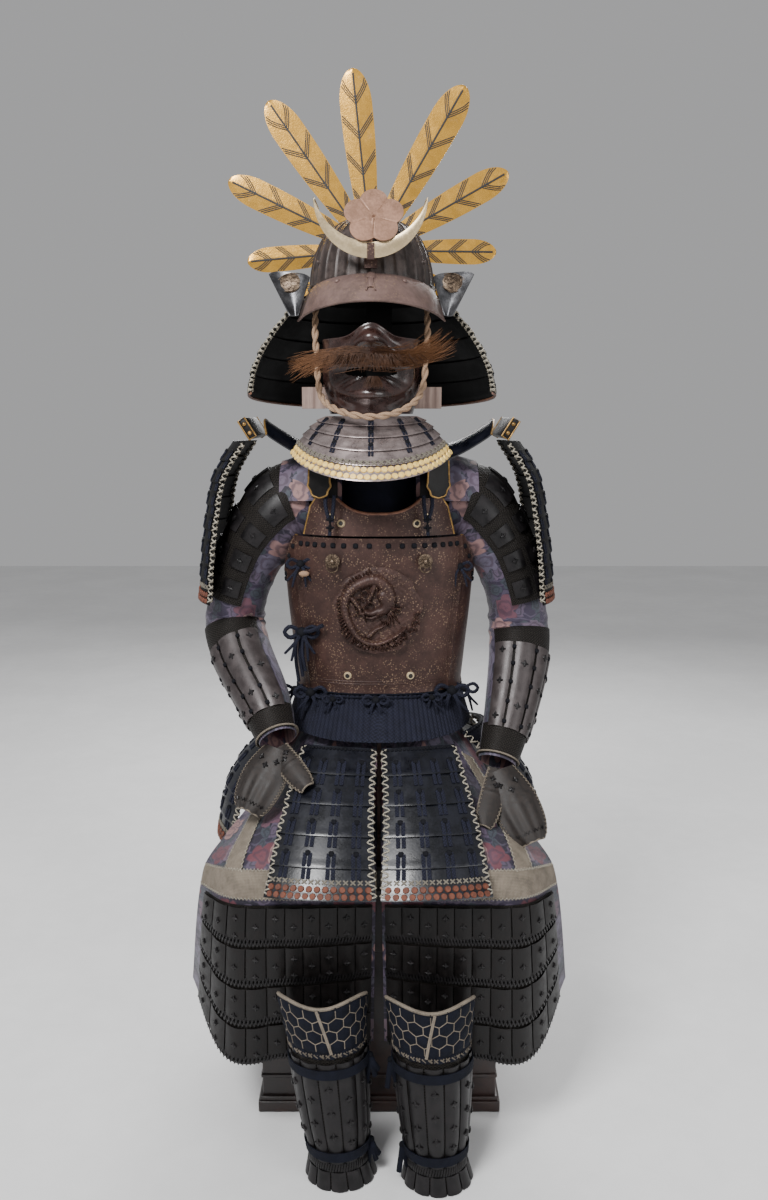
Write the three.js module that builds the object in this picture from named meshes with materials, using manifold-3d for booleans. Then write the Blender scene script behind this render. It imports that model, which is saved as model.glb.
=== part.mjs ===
// A suit of samurai armour, set up as if seated on its storage chest.
// Millimetres, +Z up. The armour faces -Y, so +X is the wearer's left.
// The chest stands on the floor, a plain stand on its lid carries the armour, and the shin guards
// stand in front. Every shell is a closed wall of its real thickness, worked out from a surface.
import * as THREE from "three";
import { mergeVertices } from "three/addons/utils/BufferGeometryUtils.js";
import Module from "manifold-3d";

const wasm = await Module();
wasm.setup();

// ---------------------------------------------------------------- driving sizes
const PLATE = 2; // iron and lacquered leather plates
const CLOTH = 3; // backed brocade
const DEG = Math.PI / 180;

const CHEST = { wide: 430, deep: 390, high: 400, wall: 9, middleY: -20, plinth: 30, proud: 8 };
const LID = { skirt: 120, top: 440, wall: 8, slack: 1 };
const STAND = {
  post: 46, foot: [130, 100], footHigh: 24, bar: 20, shoulderZ: 1193, shoulderWide: 236, headZ: 1300,
  headWide: 250, headHigh: 19, headForward: 30, top: 1606,
};

const HEAD_X = -13; // the helmet and mask sit a little to the wearer's right
const BOWL = { wide: 110, deep: 122, brow: 1487, high: 130 };
const PEAK = {
  clear: 3.4, innerZ: 1504, innerFall: 17, wide: 131, deep: 180,
  outerZ: 1465, outerFall: 29, crown: 7, halfTurn: 70,
};
const CUIRASS = { waistZ: 772, topZ: 1055, power: 0.82, waistTurn: 50, chestTurn: 57 };
const RING = { x: 82, z: 1016, bore: 2.6, wire: 1.5, radius: 9.5, stand: 9 };
const FAN = { x: -3, y: 150, z: 1583, hub: 44, thick: 1.6 };

// Cross-sections of the cuirass: half width and half depth at each height.
const TORSO = [
  { at: 772, wide: 153, deep: 117 },
  { at: 850, wide: 161, deep: 124 },
  { at: 950, wide: 171, deep: 130 },
  { at: 1030, wide: 174, deep: 131 },
  { at: 1120, wide: 150, deep: 122 },
];

// The helmet bowl: share of its base radius at each share of its height.
const DOME = [
  { at: 0, reach: 1 },
  { at: 0.3, reach: 0.96 },
  { at: 0.55, reach: 0.87 },
  { at: 0.78, reach: 0.7 },
  { at: 0.93, reach: 0.43 },
  { at: 1, reach: 0.15 },
];

// Each arm as sections along its length: centre, and half width across and deep.
const ARM_RIGHT = [
  { at: 0, x: -124, y: -4, z: 1112, wide: 74, deep: 64 },
  { at: 0.1, x: -168, y: -2, z: 1098, wide: 74, deep: 72 },
  { at: 0.2, x: -206, y: 0, z: 1062, wide: 66, deep: 74 },
  { at: 0.32, x: -236, y: 0, z: 1018, wide: 58, deep: 68 },
  { at: 0.5, x: -266, y: 0, z: 938, wide: 52, deep: 60 },
  { at: 0.64, x: -275, y: -2, z: 878, wide: 54, deep: 56 },
  { at: 0.74, x: -257, y: -42, z: 832, wide: 53, deep: 52 },
  { at: 0.88, x: -208, y: -125, z: 762, wide: 45, deep: 43 },
  { at: 1, x: -178, y: -186, z: 706, wide: 33, deep: 30 },
];
const ARM_LEFT = [
  { at: 0, x: 124, y: -4, z: 1112, wide: 74, deep: 64 },
  { at: 0.1, x: 168, y: -2, z: 1098, wide: 74, deep: 72 },
  { at: 0.2, x: 202, y: 0, z: 1062, wide: 66, deep: 74 },
  { at: 0.32, x: 230, y: 0, z: 1018, wide: 58, deep: 68 },
  { at: 0.5, x: 257, y: 0, z: 938, wide: 52, deep: 60 },
  { at: 0.64, x: 266, y: -2, z: 872, wide: 54, deep: 56 },
  { at: 0.74, x: 262, y: -30, z: 820, wide: 53, deep: 52 },
  { at: 0.88, x: 240, y: -92, z: 732, wide: 44, deep: 42 },
  { at: 1, x: 213, y: -152, z: 652, wide: 33, deep: 30 },
];
const FOREARM = { from: 0.715, to: 0.955, start: -150, end: 62, lift: 3.6 };
const ARM_MAIL = { from: 0.07, to: 0.52, start: -104, end: 72, lift: 6.2, step: 2.4, plates: 5 };

// Back-of-hand guards: wrist, knuckles and thumb tip, with the direction that each faces.
const HANDS = {
  right: {
    wrist: [-176, -204, 690],
    knuckle: [-226, -262, 604],
    thumb: [-122, -274, 650],
    faces: [-0.25, -0.75, 0.6],
  },
  left: {
    wrist: [212, -190, 648],
    knuckle: [266, -268, 550],
    thumb: [180, -274, 580],
    faces: [0.15, -0.85, 0.5],
  },
};

const HAND = {
  back: { wide: 41, crown: 15, taper: 0.62 },
  thumb: { wide: 19, crown: 6, taper: 0.9 },
  thick: 3,
};

// Shoulder guard: distance out from the middle at each height, from its top edge to its hem.
const SHOULDER_GUARD = [
  { at: 0, x: 254, z: 1222 },
  { at: 0.25, x: 291, z: 1158 },
  { at: 0.5, x: 306, z: 1086 },
  { at: 0.75, x: 316, z: 1008 },
  { at: 1, x: 321, z: 930 },
];
const GUARD_ARC = { radius: 165, halfTurn: 36, lames: 7, step: 3.2, outLeft: 4, outRight: -14 };

// The seven tassets. Corners on plan, inner edge first, and the heights of their top and hem.
const TASSETS = [
  { name: "tasset_front", pair: true, topIn: [5, -194], topOut: [134, -168], hemIn: [5, -392],
    hemOut: [184, -376], topZ: 690, hemZ: 498, bulge: 16 },
  { name: "tasset_side", pair: true, topIn: [152, -96], topOut: [176, 36], hemIn: [272, -112],
    hemOut: [286, 58], topZ: 690, hemZ: 462, bulge: 30 },
  { name: "tasset_rear", pair: true, topIn: [172, 50], topOut: [72, 131], hemIn: [272, 84],
    hemOut: [118, 226], topZ: 690, hemZ: 456, bulge: 12 },
  { name: "tasset_back", pair: false, topIn: [64, 136], topOut: [-64, 136], hemIn: [104, 232],
    hemOut: [-104, 232], topZ: 690, hemZ: 456, bulge: 12 },
];
const TASSET = { lames: 5, step: 3.4, cordsTop: 768, cordsFoot: 698 };

// The thigh apron, from its inner edge outwards: the belt, the seat line, the middle of the thigh,
// the knee and the hem, each as across, back and up.
const APRON = [
  { at: 0, beltX: 4, beltY: -98, beltZ: 742, seatX: 4, seatY: -156, seatZ: 640, thighX: 4,
    thighY: -262, thighZ: 560, kneeX: 5, kneeY: -322, kneeZ: 500, hemX: 10, hemY: -300, hemZ: 196 },
  { at: 0.25, beltX: 38, beltY: -95, beltZ: 742, seatX: 62, seatY: -152, seatZ: 650, thighX: 78,
    thighY: -272, thighZ: 584, kneeX: 84, kneeY: -342, kneeZ: 512, hemX: 86, hemY: -316, hemZ: 186 },
  { at: 0.5, beltX: 70, beltY: -86, beltZ: 742, seatX: 120, seatY: -145, seatZ: 650, thighX: 150,
    thighY: -270, thighZ: 588, kneeX: 160, kneeY: -345, kneeZ: 514, hemX: 166, hemY: -322, hemZ: 180 },
  { at: 0.75, beltX: 98, beltY: -70, beltZ: 742, seatX: 178, seatY: -128, seatZ: 620, thighX: 222,
    thighY: -240, thighZ: 560, kneeX: 244, kneeY: -318, kneeZ: 504, hemX: 264, hemY: -300, hemZ: 164 },
  { at: 1, beltX: 122, beltY: -48, beltZ: 742, seatX: 226, seatY: -98, seatZ: 574, thighX: 276,
    thighY: -172, thighZ: 522, kneeX: 308, kneeY: -232, kneeZ: 480, hemX: 346, hemY: -160, hemZ: 236 },
];
const APRON_ROWS = { rows: 4, innerAt: 0.02, outerAt: 0.93, top: 0.6, lift: 4, step: 3 };

// Shin guards: foot and knee centres, then the section from floor to knee.
const SHINS = {
  right: { footX: -64, kneeX: -94, y: -372 },
  left: { footX: 99, kneeX: 84, y: -384 },
};
const SHIN = [
  { at: 0, wide: 54, deep: 49, z: 0 },
  { at: 0.2, wide: 47, deep: 43, z: 48 },
  { at: 0.45, wide: 54, deep: 49, z: 110 },
  { at: 0.8, wide: 60, deep: 54, z: 196 },
  { at: 1, wide: 60, deep: 54, z: 242 },
];
const SHIN_TURN = 102; // half turn of the shell about the shin
const KNEE = { foot: 246, top: 338, wide: 60, deep: 54, flare: 10, wave: 7, fall: 14, halfTurn: 96, thick: 5 };

// ---------------------------------------------------------------- materials
const finish = (color, roughness, metalness) =>
  new THREE.MeshStandardMaterial({ color, roughness, metalness });
const MATERIALS = {
  russetIron: finish(0x4a3a36, 0.5, 0.6),
  blackLacquer: finish(0x0c0e16, 0.15, 0.1),
  brownLacquer: finish(0x33292a, 0.35, 0.2),
  gold: finish(0xc9a24e, 0.4, 0.9),
  brass: finish(0xb09a6a, 0.3, 0.9),
  copper: finish(0xa57a68, 0.4, 0.8),
  navyCord: finish(0x1b1f31, 0.85, 0),
  brocade: finish(0x3c3450, 0.75, 0),
  mail: finish(0x2a2726, 0.55, 0.6),
  fur: finish(0x7a4423, 0.9, 0),
  rope: finish(0xb89a72, 0.9, 0),
  wood: finish(0x9d8580, 0.7, 0),
  chestLacquer: finish(0x2d1d1a, 0.4, 0),
};

// ---------------------------------------------------------------- helpers
const lerp = (a, b, t) => a + (b - a) * t;
const steps = (count) => Array.from({ length: count + 1 }, (_, i) => i / count);
const vector = (p) => new THREE.Vector3(...p);

/** A table's row at any station: a smooth curve runs through each named column. */
function sectionAt(rows, at) {
  const last = rows.length - 1;
  let i = 0;
  while (i < last - 1 && at > rows[i + 1].at) i++;
  const [a, b] = [rows[i], rows[i + 1]];
  const span = b.at - a.at;
  const t = (at - a.at) / span;
  const before = rows[Math.max(i - 1, 0)];
  const after = rows[Math.min(i + 2, last)];
  const found = {};
  for (const key of Object.keys(a)) {
    if (key === "at") continue;
    const slopeA = (b[key] - before[key]) / (b.at - before.at);
    const slopeB = (after[key] - a[key]) / (after.at - a.at);
    const h = [2 * t ** 3 - 3 * t ** 2 + 1, t ** 3 - 2 * t ** 2 + t, 3 * t ** 2 - 2 * t ** 3, t ** 3 - t ** 2];
    found[key] = h[0] * a[key] + h[1] * span * slopeA + h[2] * b[key] + h[3] * span * slopeB;
  }
  return found;
}

/** The surface's outward normal at (u, v); turn is 1 or -1. */
function normalAt(surface, u, v, turn, closed) {
  const d = 0.004;
  const clampV = (x) => Math.min(1, Math.max(0, x));
  const clampU = closed ? (x) => x : clampV;
  const across = surface(clampU(u + d), v).sub(surface(clampU(u - d), v));
  const along = surface(u, clampV(v + d)).sub(surface(u, clampV(v - d)));
  return across.cross(along).normalize().multiplyScalar(turn);
}

/** Signed volume of an indexed triangle list. */
function volumeOf(points, triangles) {
  let total = 0;
  for (let i = 0; i < triangles.length; i += 3) {
    const [a, b, c] = [points[triangles[i]], points[triangles[i + 1]], points[triangles[i + 2]]];
    total += a.dot(new THREE.Vector3().crossVectors(b, c)) / 6;
  }
  return total;
}

/**
 * A closed wall on a surface. columns and rows are stations from 0 to 1; a row may also be
 * { at, lift }, which raises it along the normal. The wall lies outside the surface.
 */
function wall(surface, { columns, rows, thick = PLATE, turn = 1, closed = false }) {
  const us = Array.isArray(columns) ? columns : steps(columns);
  const stations = (Array.isArray(rows) ? rows : steps(rows)).map((r) =>
    typeof r === "number" ? { at: r, lift: 0 } : r,
  );
  const cols = closed ? us.slice(0, -1) : us;
  const points = [];
  for (const side of [0, 1]) {
    for (const { at, lift } of stations) {
      for (const u of cols) {
        const n = normalAt(surface, u, at, turn, closed);
        points.push(surface(u, at).addScaledVector(n, lift + side * thick));
      }
    }
  }
  const width = cols.length;
  const height = stations.length;
  const id = (side, row, col) => side * width * height + row * width + (col % width);
  const triangles = [];
  const quad = (a, b, c, d) => triangles.push(a, b, c, a, c, d);
  const spans = closed ? width : width - 1;
  for (let r = 0; r < height - 1; r++) {
    for (let c = 0; c < spans; c++) {
      quad(id(1, r, c), id(1, r, c + 1), id(1, r + 1, c + 1), id(1, r + 1, c));
      quad(id(0, r, c), id(0, r + 1, c), id(0, r + 1, c + 1), id(0, r, c + 1));
    }
  }
  for (let c = 0; c < spans; c++) {
    quad(id(0, 0, c), id(0, 0, c + 1), id(1, 0, c + 1), id(1, 0, c));
    const r = height - 1;
    quad(id(0, r, c), id(1, r, c), id(1, r, c + 1), id(0, r, c + 1));
  }
  if (!closed) {
    for (let r = 0; r < height - 1; r++) {
      quad(id(0, r, 0), id(1, r, 0), id(1, r + 1, 0), id(0, r + 1, 0));
      const c = width - 1;
      quad(id(0, r, c), id(0, r + 1, c), id(1, r + 1, c), id(1, r, c));
    }
  }
  if (volumeOf(points, triangles) < 0) triangles.reverse();
  return geometryOf(points, triangles);
}

/** A three.js geometry from points and triangles. */
function geometryOf(points, triangles) {
  const g = new THREE.BufferGeometry();
  g.setAttribute("position", new THREE.Float32BufferAttribute(points.flatMap((p) => p.toArray()), 3));
  g.setIndex(triangles);
  g.computeVertexNormals();
  return g;
}

/** Rows of overlapping lames: each rises to its lower edge, then drops back under it. */
function lameRows(count, step, riser = 0.022) {
  const rows = [];
  for (let i = 0; i < count; i++) {
    rows.push({ at: i / count, lift: 0 });
    rows.push({ at: (i + 1) / count - (i < count - 1 ? riser : 0), lift: step });
  }
  return rows;
}

/** The same geometry on the other side of the armour. */
function mirrored(geometry) {
  const g = geometry.clone().scale(-1, 1, 1);
  const index = Array.from(g.index ? g.index.array : g.getAttribute("position").array.keys());
  if (!g.index) index.length = g.getAttribute("position").count;
  g.setIndex(index.reverse());
  return g;
}

/** A manifold-3d solid of a geometry. */
function solid(geometry) {
  const bare = geometry.index ? geometry.toNonIndexed() : geometry.clone();
  for (const name of Object.keys(bare.attributes)) if (name !== "position") bare.deleteAttribute(name);
  const g = mergeVertices(bare, 1e-3);
  return new wasm.Manifold(
    new wasm.Mesh({
      numProp: 3,
      vertProperties: g.getAttribute("position").array,
      triVerts: new Uint32Array(g.index.array),
    }),
  );
}

/** A geometry of a manifold-3d solid. */
function geometryFrom(manifold) {
  const mesh = manifold.getMesh();
  const g = new THREE.BufferGeometry();
  g.setAttribute("position", new THREE.Float32BufferAttribute(mesh.vertProperties, 3));
  g.setIndex(Array.from(mesh.triVerts));
  g.computeVertexNormals();
  return g;
}
const joined = (...parts) => geometryFrom(parts.map(solid).reduce((a, b) => a.add(b)));
const cut = (body, ...tools) => geometryFrom(tools.map(solid).reduce((a, b) => a.subtract(b), solid(body)));

/** A block between two corners. */
function block(low, high) {
  const size = high.map((h, i) => h - low[i]);
  return new THREE.BoxGeometry(...size).translate(...low.map((l, i) => l + size[i] / 2));
}

/** A flat plate of an outline drawn in X and Z, standing in the XZ plane, its front face at -Y. */
function standingPlate(outline, thick, curveSegments = 8) {
  const shape = new THREE.Shape(outline.map(([x, z]) => new THREE.Vector2(x, z)));
  return new THREE.ExtrudeGeometry(shape, { depth: thick, bevelEnabled: false, curveSegments })
    .rotateX(Math.PI / 2);
}

const armour = new THREE.Group();
/** Adds one named piece. */
function piece(name, geometry, material, parent = armour) {
  const mesh = new THREE.Mesh(geometry, material);
  mesh.name = name;
  parent.add(mesh);
  return mesh;
}
/** Adds a piece for the wearer's left, and its mirror image for the right. */
function pair(name, geometry, material, parent = armour) {
  piece(`${name}_l`, geometry, material, parent);
  piece(`${name}_r`, mirrored(geometry), material, parent);
}

// ---------------------------------------------------------------- storage chest and stand
function buildChest() {
  const { wide, deep, high, wall: board, middleY, plinth, proud } = CHEST;
  const [front, back] = [middleY - deep / 2, middleY + deep / 2];
  const outside = block([-wide / 2, front, 0], [wide / 2, back, high]);
  const foot = block([-wide / 2 - proud, front - proud, 0], [wide / 2 + proud, back + proud, plinth]);
  const inside = block([-wide / 2 + board, front + board, board], [wide / 2 - board, back - board, high + 1]);
  piece("chest_body", cut(joined(outside, foot), inside), MATERIALS.chestLacquer);

  const gap = LID.slack;
  const skin = gap + LID.wall;
  const skirt = LID.top - LID.skirt;
  const shell = block([-wide / 2 - skin, front - skin, skirt], [wide / 2 + skin, back + skin, LID.top]);
  const hollow = block(
    [-wide / 2 - gap, front - gap, skirt - 1],
    [wide / 2 + gap, back + gap, LID.top - LID.wall],
  );
  piece("chest_lid", cut(shell, hollow), MATERIALS.chestLacquer);
}

function buildStand() {
  const half = STAND.post / 2;
  const [footX, footY] = STAND.foot;
  const base = LID.top + 0.5;
  const foot = block([-footX, -footY, base], [footX, footY, base + STAND.footHigh]);
  const post = block([-half, -half, base + STAND.footHigh / 2], [half, half, STAND.top]);
  const shoulder = block(
    [-STAND.shoulderWide / 2, -STAND.bar, STAND.shoulderZ - 15],
    [STAND.shoulderWide / 2, STAND.bar, STAND.shoulderZ + 15],
  );
  const head = block(
    [HEAD_X - STAND.headWide / 2, -half - STAND.headForward, STAND.headZ - STAND.headHigh],
    [HEAD_X + STAND.headWide / 2, -half + 2, STAND.headZ + STAND.headHigh],
  );
  piece("armour_stand", joined(foot, post, shoulder, head), MATERIALS.wood);
}

// ---------------------------------------------------------------- helmet
/** The bowl's surface: once round, from the brow to the crown. */
function bowlSurface(u, v) {
  const { reach } = sectionAt(DOME, v);
  const turn = u * 2 * Math.PI;
  return new THREE.Vector3(
    BOWL.wide * reach * Math.sin(turn),
    -BOWL.deep * reach * Math.cos(turn),
    BOWL.brow + BOWL.high * v,
  );
}

/** The peak: from side to side across the brow, and from the bowl outwards. */
function peakSurface(u, v) {
  const half = PEAK.halfTurn * DEG;
  const turn = lerp(-half, half, u);
  const fall = (1 - Math.cos(turn)) / (1 - Math.cos(half));
  const inner = [BOWL.wide + PEAK.clear, BOWL.deep + PEAK.clear, PEAK.innerZ - PEAK.innerFall * fall];
  const outer = [PEAK.wide, PEAK.deep, PEAK.outerZ - PEAK.outerFall * fall];
  const [wide, deep, z] = inner.map((a, i) => lerp(a, outer[i], v));
  const crown = PEAK.crown * Math.sin(v * Math.PI);
  return new THREE.Vector3(wide * Math.sin(turn), -deep * Math.cos(turn), z + crown);
}

/** The neck guard: from the wearer's left front, round the back, to the right front. */
function neckGuardSurface(u, v) {
  const turn = lerp(106, -106, u) * DEG;
  const flare = Math.sin((v * Math.PI) / 2) ** 0.92;
  const [wide, deep] = [lerp(120, 222, flare), lerp(132, 208, flare)];
  const rise = 38 * v * ((1 - Math.cos(turn)) / 2);
  return new THREE.Vector3(wide * Math.sin(turn), deep * Math.cos(turn), lerp(1478, 1284, v) + rise);
}

/** A turn-back, on the wearer's left: from the bowl outwards, and from its foot up. */
function turnbackSurface(u, v) {
  const inner = new THREE.Vector3(lerp(126, 121, v), lerp(-88, -66, v), lerp(1444, 1516, v));
  const outer = new THREE.Vector3(lerp(140, 188, v), lerp(-98, -52, v), lerp(1442, 1510, v));
  const bend = 9 * Math.sin(u * Math.PI);
  return inner.lerp(outer, u).add(new THREE.Vector3(0, bend, 0));
}

/** Outline of a crescent open to the top: its outer arc, then its inner arc back. */
function crescentOutline() {
  const [outer, inner, lift] = [94, 98, 30];
  const reach = Math.acos((inner ** 2 - outer ** 2 - lift ** 2) / (2 * lift * outer));
  const outside = steps(20).map((t) => {
    const a = lerp(-reach, reach, t);
    return [outer * Math.sin(a), -outer * Math.cos(a)];
  });
  const edge = Math.asin((outer * Math.sin(reach)) / inner);
  const centre = -outer * Math.cos(reach) + inner * Math.cos(edge);
  const inside = steps(16).slice(1, -1).map((t) => {
    const a = lerp(edge, -edge, t);
    return [inner * Math.sin(a), centre - inner * Math.cos(a)];
  });
  return [...outside, ...inside];
}

/** Outline of a flower with five round petals. */
function flowerOutline() {
  const [petal, reach] = [24, 27];
  const points = [];
  for (let k = 0; k < 5; k++) {
    const middle = 90 + 72 * k;
    for (const t of steps(8).slice(0, -1)) {
      const a = (middle + lerp(-77, 77, t)) * DEG;
      const m = middle * DEG;
      points.push([reach * Math.cos(m) + petal * Math.cos(a), reach * Math.sin(m) + petal * Math.sin(a)]);
    }
  }
  return points;
}

// Feathers of the fan: direction from upright, length and width.
const FEATHERS = [
  { turn: -125, long: 190, wide: 42 },
  { turn: -95, long: 239, wide: 47 },
  { turn: -64.7, long: 300, wide: 55 },
  { turn: -35.7, long: 332, wide: 61 },
  { turn: -6, long: 330, wide: 61 },
  { turn: 30.9, long: 346, wide: 63 },
  { turn: 61.3, long: 298, wide: 56 },
  { turn: 90.7, long: 241, wide: 47 },
  { turn: 119, long: 190, wide: 42 },
];

/** Outline of one upright feather: narrow at its foot, widest near its round tip. */
function featherOutline(long, wide) {
  const width = (t) => (wide / 2) * (0.42 + 0.58 * Math.sin((Math.min(t / 0.74, 1) * Math.PI) / 2));
  const tip = (t) => Math.sqrt(Math.max(0, 1 - Math.max(0, (t - 0.8) / 0.2) ** 2));
  const edge = [0.1, 0.3, 0.5, 0.7, 0.82, 0.9, 0.95, 0.985].map((t) => [width(t) * tip(t), long * t]);
  return [...edge, [0, long], ...edge.map(([x, z]) => [-x, z]).reverse()];
}

function buildHelmet(head) {
  const add = (name, geometry, material) => piece(name, geometry, material, head);
  add("helmet_bowl", wall(bowlSurface, { columns: 24, rows: [0, 0.3, 0.55, 0.78, 0.93, 1], turn: 1, closed: true }),
    MATERIALS.russetIron);
  add("helmet_peak", wall(peakSurface, { columns: 14, rows: 3, turn: -1 }), MATERIALS.russetIron);
  const neckGuard = wall(neckGuardSurface, { columns: 18, rows: lameRows(5, 3.4), turn: 1 });
  add("neck_guard", neckGuard, MATERIALS.blackLacquer);
  pair("turnback", wall(turnbackSurface, { columns: 5, rows: 4, turn: 1 }), MATERIALS.blackLacquer, head);

  const socket = joined(
    block([-11, -139, 1513], [11, -129, 1546]),
    block([-5, -158, 1532], [5, -134, 1540]),
    block([-6, -158, 1524], [6, -154, 1550]),
  );
  add("crest_holder", socket, MATERIALS.russetIron);
  const crescent = standingPlate(crescentOutline(), 3).rotateX(-6 * DEG).translate(0, -160, 1620);
  add("crescent", crescent, MATERIALS.brass);
  const stem = block([-4, -2, -40], [4, 0, -20]);
  const flower = joined(standingPlate(flowerOutline(), 2), stem).rotateX(-24 * DEG).translate(5, -142, 1594);
  add("plum_flower", flower, MATERIALS.copper);

  const hub = new THREE.CylinderGeometry(FAN.hub, FAN.hub, FAN.thick * 2, 20);
  const arm = block([-9, -46, -9], [9, 0.5, 9]);
  const feathers = FEATHERS.map(({ turn, long, wide }) =>
    standingPlate(featherOutline(long, wide), FAN.thick).rotateY(turn * DEG),
  );
  add("feather_fan", joined(hub, arm, ...feathers).translate(FAN.x, FAN.y, FAN.z), MATERIALS.gold);
}

// ---------------------------------------------------------------- face mask and throat guard
const MASK = { wide: 83, deep: 78, y: -84, top: 1398, foot: 1272 };

/** The mask: from the wearer's right cheek to the left, and from its upper edge down. */
function maskSurface(u, v) {
  const turn = lerp(-92, 92, u) * DEG;
  const z = lerp(MASK.top + 22 * Math.exp(-((turn / 0.35) ** 2)), MASK.foot, v);
  const bump = (height, middle, reach, spread) =>
    height * Math.exp(-(((z - middle) / reach) ** 2) - (turn / spread) ** 2);
  const nose = bump(17, 1396, 20, 0.24);
  const lip = bump(9, 1358, 13, 0.55);
  const chin = bump(27, 1304, 22, 0.5);
  const cheek = 5 * Math.exp(-(((z - 1368) / 20) ** 2) - ((Math.abs(turn) - 0.75) / 0.3) ** 2);
  const taper = 1 - 0.14 * Math.max(0, (1330 - z) / 58) ** 1.4;
  const out = nose + lip + chin + cheek;
  return new THREE.Vector3(
    (MASK.wide * taper + out * 0.5) * Math.sin(turn),
    MASK.y - (MASK.deep * taper + out) * Math.cos(turn),
    z,
  );
}

/** The throat guard: round the front from right to left, and from the neck down. */
function throatSurface(u, v) {
  const turn = lerp(-74, 74, u) * DEG;
  const side = (1 - Math.cos(turn)) / (1 - Math.cos(74 * DEG));
  const spread = v ** 0.85;
  const [wide, deep] = [lerp(82, 143, spread), lerp(76, 160, spread)];
  const z = lerp(1266, 1160, v) + side * 42 * v;
  return new THREE.Vector3(wide * Math.sin(turn), -76 - deep * Math.cos(turn), z + 6 * Math.sin(v * Math.PI));
}

/** The moustache's outer surface, from its right end to its left and round its thickness. */
function whiskerSurface(u, v) {
  const around = u * 2 * Math.PI;
  const x = lerp(-150, 150, v);
  const share = Math.abs(x) / 150;
  const thick = lerp(13, 9, share) * (1 - 0.55 * share ** 6);
  const sweep = MASK.y - Math.sqrt(Math.max(0, 1 - (x / 168) ** 2)) * 104;
  const y = sweep + 0.6 * thick * Math.cos(around);
  return new THREE.Vector3(x, y, 1373 + 4 * share + thick * Math.sin(around));
}

/** A closed solid on a tube surface, with a fan over each end. */
function capped(surface, sides, rows) {
  const points = [];
  const stations = Array.isArray(rows) ? rows : steps(rows);
  for (const v of stations) for (let i = 0; i < sides; i++) points.push(surface(i / sides, v));
  const triangles = [];
  for (let r = 0; r < stations.length - 1; r++) {
    for (let i = 0; i < sides; i++) {
      const j = (i + 1) % sides;
      const [a, b, c, d] = [r * sides + i, r * sides + j, (r + 1) * sides + j, (r + 1) * sides + i];
      triangles.push(a, b, c, a, c, d);
    }
  }
  for (const [row, flip] of [[0, false], [stations.length - 1, true]]) {
    const centre = points.length;
    const ring = points.slice(row * sides, row * sides + sides);
    points.push(ring.reduce((s, p) => s.add(p), new THREE.Vector3()).divideScalar(sides));
    for (let i = 0; i < sides; i++) {
      const [a, b] = [row * sides + i, row * sides + ((i + 1) % sides)];
      triangles.push(...(flip ? [centre, a, b] : [centre, b, a]));
    }
  }
  if (volumeOf(points, triangles) < 0) triangles.reverse();
  return geometryOf(points, triangles);
}

// The chin cord, from inside the helmet on the wearer's right, under the chin, to the left.
const CHIN_CORD = [
  [-106, -60, 1452], [-112, -72, 1410], [-111, -84, 1372], [-107, -92, 1335], [-96, -116, 1304],
  [-74, -158, 1285], [-38, -190, 1272], [0, -201, 1267], [38, -190, 1272], [74, -158, 1288],
  [96, -116, 1310], [107, -92, 1340], [111, -84, 1374], [112, -72, 1410], [106, -60, 1452],
];

/** A cord along a smooth curve: an extruded section of a few sides. */
function cord(points, diameter, sides, count) {
  const section = new THREE.Shape(
    steps(sides).slice(0, -1).map((t) => {
      const a = t * 2 * Math.PI;
      return new THREE.Vector2((diameter / 2) * Math.cos(a), (diameter / 2) * Math.sin(a));
    }),
  );
  const path = new THREE.CatmullRomCurve3(points.map(vector), false, "centripetal");
  return new THREE.ExtrudeGeometry(section, { steps: count, extrudePath: path, bevelEnabled: false });
}

function buildFace(head) {
  const add = (name, geometry, material) => piece(name, geometry, material, head);
  const face = wall(maskSurface, { columns: 20, rows: 12, turn: -1 });
  const mouth = new THREE.CylinderGeometry(1, 1, 80, 14).scale(44, 1, 9).translate(0, -165, 1341);
  add("face_mask", cut(face, mouth), MATERIALS.brownLacquer);
  add("moustache", capped(whiskerSurface, 7, 12), MATERIALS.fur);
  const tuft = new THREE.SphereGeometry(1, 8, 5).scale(11, 6, 14).translate(4, -198, 1326);
  add("chin_tuft", tuft, MATERIALS.fur);
  add("chin_cord", cord(CHIN_CORD, 9, 8, 36), MATERIALS.rope);
  const throat = wall(throatSurface, { columns: 14, rows: lameRows(5, 3), turn: -1 });
  add("throat_guard", throat, MATERIALS.russetIron);
}

// ---------------------------------------------------------------- cuirass
/** A point on the torso at a turn from the front, in degrees, and a height. */
function torsoPoint(turn, z) {
  const { wide, deep } = sectionAt(TORSO, Math.min(z, 1120));
  const [s, c] = [Math.sin(turn * DEG), Math.cos(turn * DEG)];
  const round = (x) => Math.sign(x) * Math.abs(x) ** CUIRASS.power;
  return new THREE.Vector3(wide * round(s), -deep * round(c), z);
}

/** Height of the cuirass's upper edge: low under the arms and high at the back. */
function rimHeight(turn) {
  const a = Math.abs(turn);
  if (a <= 60) return CUIRASS.topZ;
  if (a <= 88) return lerp(CUIRASS.topZ, 978, Math.sin(((a - 60) / 28) * 90 * DEG));
  return lerp(978, 1128, Math.sin((Math.min(a - 88, 50) / 50) * 90 * DEG) ** 2);
}

/** The hinge line between the front and side plates leans out towards the chest. */
const hingeTurn = (v) => lerp(CUIRASS.waistTurn, CUIRASS.chestTurn, v);

function frontPlateSurface(u, v) {
  const turn = lerp(-hingeTurn(v), hingeTurn(v), u);
  return torsoPoint(turn, lerp(CUIRASS.waistZ, rimHeight(turn), v));
}

function backPlateSurface(u, v) {
  const seam = hingeTurn(v) + 0.4;
  const turn = lerp(seam, 360 - seam, u);
  const signed = turn > 180 ? turn - 360 : turn;
  return torsoPoint(signed, lerp(CUIRASS.waistZ, rimHeight(signed), v));
}

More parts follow.
